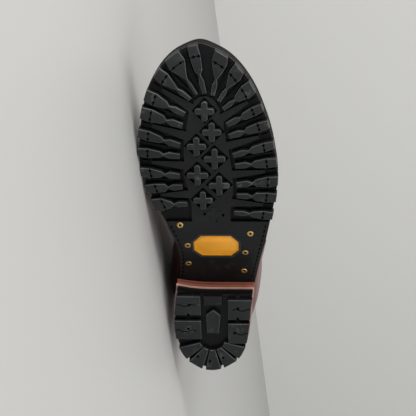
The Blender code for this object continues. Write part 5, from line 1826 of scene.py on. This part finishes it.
def upper_threads(last, leather):
    """Stitches along eyestays, back stay, vamp and collar."""
    threads = bmesh.new()
    rows = list(enumerate(leather.stations))
    for mirror in (False, True):
        for j, share in STAY_SEAMS:
            seam(threads, [leather.between(i, j, share, mirror) for i, s in rows
                           if s >= THROAT_START], OVERLAY_TOP)
        seam(threads, [leather.between(i, BACK_STAY_CELLS, -BACK_SEAM_SHARE, mirror)
                       for i, s in rows if s >= last.heel + BACK_SEAM_START], OVERLAY_TOP)
        for gap in (0.0, VAMP_SEAM_GAP):
            seam(threads, vamp_line(leather, gap, mirror), THREAD_LIFT)
        seam(threads, [leather.at(len(rows) - 2, j, mirror)
                       for j in range(FINE_SIDE + FINE_STAY + 1)], THREAD_LIFT)
    return threads


def vamp_line(leather, gap, mirror):
    """Seam between vamp and quarter, from the throat down to the sole."""
    line = []
    for k in range(VAMP_SEAM_STEPS + 1):
        t = k / VAMP_SEAM_STEPS
        s = THROAT_START + VAMP_SEAM_START + VAMP_SEAM_REACH * t ** 1.35 + gap
        j = FINE_SIDE * (1.0 - t) ** 0.85 + VAMP_SEAM_BOW * math.sin(math.pi * t)
        i, part = locate(leather.stations, s)
        low = int(j)
        here, normal = leather.at(i, low, mirror)
        beside, _ = leather.at(i, low + 1, mirror)
        before, _ = leather.at(i - 1, low, mirror)
        line.append((here.lerp(beside, j - low) + (before - here) * (1.0 - part), normal))
    return line


def counter_cutter():
    """Prism that cuts the heel counter to its outline."""
    first, last_place = COUNTER_EDGE[-1][0], COUNTER_EDGE[0][0]
    outline = []
    for step in range(25):
        y = (first + (last_place - first) * step / 24) * SOLE_LENGTH
        outline.append((y, FEATHER_LEVEL + lift(max(y, 0.0)) + GAP))
    corners = [Vector((y * SOLE_LENGTH, z * SHAFT_TOP)) for y, z in COUNTER_EDGE]
    ends = corners[:1] + corners + corners[-1:]
    for around in zip(ends, ends[1:], ends[2:], ends[3:]):
        outline += [tuple(spline_point(*around, step / 6)) for step in range(6)]
    outline.append(tuple(corners[-1]))
    cutter = bmesh.new()
    tube(cutter, [[cutter.verts.new((x, y, z)) for y, z in outline]
                  for x in (-BALL_WIDTH, BALL_WIDTH)])
    return cutter


def strap(bm, path):
    """Closed flat lace swept along a path of points with their upward normals."""
    rings = []
    angles = [2 * math.pi * k / LACE_SIDES for k in range(LACE_SIDES)]
    for index, (point, normal) in enumerate(path):
        before = path[max(index - 1, 0)][0]
        after = path[min(index + 1, len(path) - 1)][0]
        along = (after - before).normalized()
        side = along.cross(normal).normalized()
        up = side.cross(along) * (LACE_THICKNESS / 2)
        side = side * (LACE_WIDTH * 0.95 / 2)
        rings.append([bm.verts.new(point + side * math.cos(a) + up * math.sin(a)) for a in angles])
    tube(bm, rings)


def build_fittings():
    """Eyelets, hooks and the lace that runs through them."""
    last = Last()
    shell = Shell(Leather(last))
    places = fitting_stations(last)
    brass = brass_finish()
    middle = Vector((0.0, 0.0))
    holes = bmesh.new()
    for number, s in enumerate(places, 1):
        for side, word in ((1, "inner"), (-1, "outer")):
            point, normal, upwards = surface_frame(last, s, side, FITTING_AWAY)
            point = shell.on(point, normal) + normal * OVERLAY_TOP
            across = upwards.cross(normal).normalized()
            turn = Matrix((normal.cross(across).normalized(), -across, normal)).transposed()
            place = Matrix.Translation(point) @ turn.to_4x4()
            bm = bmesh.new()
            if number <= EYELET_PAIRS:
                name = f"eyelet_{word}_{number}"
                lathe(bm, middle, EYELET_PROFILE, 20)
                # Dark disc of painted shade inside the eyelet's hole
                hole = bmesh.new()
                upright(hole, circle(middle, EYELET_HOLE + GAP, 14), *EYELET_HOLE_LEVELS)
                hole.transform(place)
                add_to(holes, hole)
            else:
                name = f"hook_{word}_{number - EYELET_PAIRS}"
                hook_body(bm, side)
            bm.transform(place)
            put(name, bm, brass, (name,), BRASS_SHARP)
    put("eyelet_holes", holes, plain_finish("eyelet hole", EYELET_HOLE_PAINTED_SHADE, 0.9))
    lace = bmesh.new()
    for number in range(1, len(places)):
        for side in (1, -1):
            strap(lace, lace_run(last, shell, places, number, side))
    strap(lace, first_run(last, shell, places))
    put("lace", lace, lace_finish(), ("lace",), LACE_SHARP)


def hook_body(bm, side):
    """Bent strip of a speed hook."""
    tube(bm, [[bm.verts.new((along * HOOK_WIDTH, x * share * HOOK_LENGTH * side,
                             z * share * HOOK_HEIGHT)) for x, z in HOOK_PROFILE]
              for along, share in HOOK_RINGS])


def cross_points(last, shell, start, end, heights, steps):
    """Points over the throat between two places, each a station and a signed distance."""
    path = []
    for k in range(steps + 1):
        t = k / steps
        s = start[0] + (end[0] - start[0]) * t
        away = start[1] + (end[1] - start[1]) * t
        side = 1 if away >= 0 else -1
        point, normal, _ = surface_frame(last, s, side, max(abs(away), 0.0002))
        point = shell.on(point, normal)
        path.append((point + normal * heights(t), normal))
    return path


def eyelet_height(t):
    """Height of a run that rises through one eyelet and goes under the other stay."""
    if t < LACE_RISE_END:
        rise = t / LACE_RISE_END
        return LACE_LEVEL - LACE_DIVE * (1 - rise) + LACE_ARCH * math.sin(math.pi * rise)
    if t < LACE_LIE_END:
        return LACE_LEVEL + LACE_LIE
    sink = max(t - LACE_SINK_START, 0.0) / (1 - LACE_SINK_START)
    return LACE_LEVEL - LACE_SINK - sink * LACE_END_SINK


def lace_run(last, shell, places, number, side):
    """One run from a fitting to the next one across."""
    def crossing(t):
        """Height that keeps two crossing runs apart."""
        return LACE_CROSSING * side * math.exp(-((t - 0.5) / LACE_CROSSING_SPREAD) ** 2)

    def eyelet_run(t):
        """Height between two eyelets."""
        return eyelet_height(t) + (crossing(t) if t >= LACE_LIE_END else 0.0)

    def hook_run(t):
        """Height between two hooks."""
        return LACE_LEVEL + LACE_LIE + crossing(t)

    if number < EYELET_PAIRS:
        return cross_points(last, shell, (places[number - 1], side * FITTING_AWAY),
                            (places[number], -side * FITTING_AWAY), eyelet_run, EYELET_RUN_STEPS)
    hooked = FITTING_AWAY - HOOK_SLACK
    away = hooked if number > EYELET_PAIRS else FITTING_AWAY
    path = cross_points(last, shell, (places[number - 1], side * away),
                        (places[number], -side * hooked), hook_run, HOOK_RUN_STEPS)
    if number == EYELET_PAIRS:
        point, normal = path[0]
        path[0] = (point - normal * LACE_THROUGH, normal)
    return path


def first_run(last, shell, places):
    """Straight bar between the lowest eyelets."""
    def heights(t):
        """Height between the eyelets."""
        dive = max(0.0, 1 - min(t, 1 - t) / LACE_BAR_DIVE)
        return LACE_LEVEL - LACE_DIVE * dive + LACE_LIE

    return cross_points(last, shell, (places[0], FITTING_AWAY), (places[0], -FITTING_AWAY),
                        heights, EYELET_RUN_STEPS)


def smooth_paint(name, shade, roughness):
    """Paint of floor and wall, almost even."""
    made = Finish(name, roughness)
    return made.feed(Base_Color=made.tones(made.noise(0.6, 1.0), shade, 0.97, 1.03))


def plane(name, corners, finish):
    """Flat piece of the stage."""
    mesh = bpy.data.meshes.new(name)
    mesh.from_pydata(corners, [], [(0, 1, 2, 3)])
    mesh.materials.append(finish)
    made = bpy.data.objects.new(name, mesh)
    bpy.context.collection.objects.link(made)
    return made


def light_stage():
    """World and lamps."""
    world = bpy.data.worlds.new("room")
    bpy.context.scene.world = world
    world.use_nodes = True
    shade = world.node_tree.nodes["Background"]
    shade.inputs["Color"].default_value = ROOM_SHADE
    shade.inputs["Strength"].default_value = ROOM_POWER
    target = STANDING @ Vector(LAMP_TARGET)
    for name, place, power, wide in LIGHTS:
        data = bpy.data.lights.new(name, "AREA")
        data.energy = power
        data.shape = "RECTANGLE"
        data.size = wide
        data.size_y = wide
        lamp = bpy.data.objects.new(name, data)
        lamp.location = Vector(place)
        lamp.rotation_mode = "QUATERNION"
        lamp.rotation_quaternion = (target - lamp.location).to_track_quat("-Z", "Y")
        bpy.context.collection.objects.link(lamp)


def add_camera():
    """Camera that looks at the sole."""
    data = bpy.data.cameras.new("camera")
    data.lens = CAMERA_LENS
    data.sensor_width = CAMERA_SENSOR
    camera = bpy.data.objects.new("camera", data)
    bpy.context.collection.objects.link(camera)
    back = -(Vector(CAMERA_AHEAD) + Vector((CAMERA_AIM, 0.0, 0.0))).normalized()
    right = Vector(CAMERA_UP).cross(back).normalized()
    turn = Matrix((right, back.cross(right), back)).transposed()
    camera.matrix_world = (STANDING @ Matrix.Translation(CAMERA_PLACE)) @ turn.to_4x4()
    bpy.context.scene.camera = camera


def build_stage():
    """Floor, backdrop, lights and camera."""
    x, front, back = STAGE_REACH, STAGE_FRONT, STAGE_BACK
    ground = plane("floor", [(-x, front, 0.0), (x, front, 0.0), (x, back, 0.0), (-x, back, 0.0)],
                   smooth_paint("floor paint", FLOOR_SHADE, 0.5))
    low, high = STAGE_OVERLAP, STAGE_HEIGHT
    wall = plane("wall", [(-x, back, low), (x, back, low), (x, back, high), (-x, back, high)],
                 smooth_paint("wall paint", WALL_SHADE, 0.7))
    bpy.context.scene.view_settings.view_transform = "Standard"
    light_stage()
    add_camera()


class AddOutsole(bpy.types.Operator):
    """Rubber outsole with its lugs"""

    bl_idname = "boot.add_outsole"
    bl_label = "Outsole"

    def execute(self, context):
        build_outsole()
        return {"FINISHED"}


class AddSeams(bpy.types.Operator):
    """Seam channel, stitch holes and waist stitches"""

    bl_idname = "boot.add_seams"
    bl_label = "Sole seams"

    def execute(self, context):
        build_seams()
        return {"FINISHED"}


class AddNails(bpy.types.Operator):
    """Nail heads and the bare plate of the waist"""

    bl_idname = "boot.add_nails"
    bl_label = "Nails and badge"

    def execute(self, context):
        build_nails()
        return {"FINISHED"}


class AddEdges(bpy.types.Operator):
    """Midsole, welt and insole"""

    bl_idname = "boot.add_edges"
    bl_label = "Midsole and welt"

    def execute(self, context):
        build_edges()
        return {"FINISHED"}


class AddHeel(bpy.types.Operator):
    """Top piece with its blocks, and the leather lifts"""

    bl_idname = "boot.add_heel"
    bl_label = "Heel"

    def execute(self, context):
        build_heel()
        return {"FINISHED"}


class AddUpper(bpy.types.Operator):
    """Upper, overlays, tongue and seams"""

    bl_idname = "boot.add_upper"
    bl_label = "Upper"

    def execute(self, context):
        build_upper()
        return {"FINISHED"}


class AddFittings(bpy.types.Operator):
    """Eyelets, hooks and lace"""

    bl_idname = "boot.add_fittings"
    bl_label = "Fittings and lace"

    def execute(self, context):
        build_fittings()
        return {"FINISHED"}


class AddStage(bpy.types.Operator):
    """Floor, wall, lamps and camera"""

    bl_idname = "boot.add_stage"
    bl_label = "Stage"

    def execute(self, context):
        build_stage()
        return {"FINISHED"}


class BootPanel(bpy.types.Panel):
    """Panel of the boot's pieces in the 3D view's sidebar"""

    bl_idname = "VIEW3D_PT_boot"
    bl_label = "Boot"
    bl_space_type = "VIEW_3D"
    bl_region_type = "UI"
    bl_category = "Boot"

    def draw(self, context):
        """Show the colours, the sizes and the operators."""
        for group in (context.scene.boot_colours, context.scene.boot_sizes):
            for name in group.bl_rna.properties.keys():
                if name not in ("rna_type", "name"):
                    self.layout.prop(group, name)
        for operator in OPERATORS:
            self.layout.operator(operator.bl_idname)


OPERATORS = (AddOutsole, AddSeams, AddNails, AddEdges, AddHeel, AddUpper, AddFittings, AddStage)
CLASSES = (BootColours, BootSizes) + OPERATORS + (BootPanel,)


def register():
    """Add the classes and their properties to Blender."""
    for made in CLASSES:
        bpy.utils.register_class(made)
    bpy.types.Scene.boot_colours = bpy.props.PointerProperty(type=BootColours)
    bpy.types.Scene.boot_sizes = bpy.props.PointerProperty(type=BootSizes)


def unregister():
    """Take them out again."""
    del bpy.types.Scene.boot_sizes
    del bpy.types.Scene.boot_colours
    for made in reversed(CLASSES):
        bpy.utils.unregister_class(made)


def main():
    """Build the boot and its stage."""
    register()
    bpy.ops.boot.add_outsole()
    bpy.ops.boot.add_seams()
    bpy.ops.boot.add_nails()
    bpy.ops.boot.add_edges()
    bpy.ops.boot.add_heel()
    bpy.ops.boot.add_upper()
    bpy.ops.boot.add_fittings()
    bpy.ops.boot.add_stage()


if __name__ == "__main__":
    main()
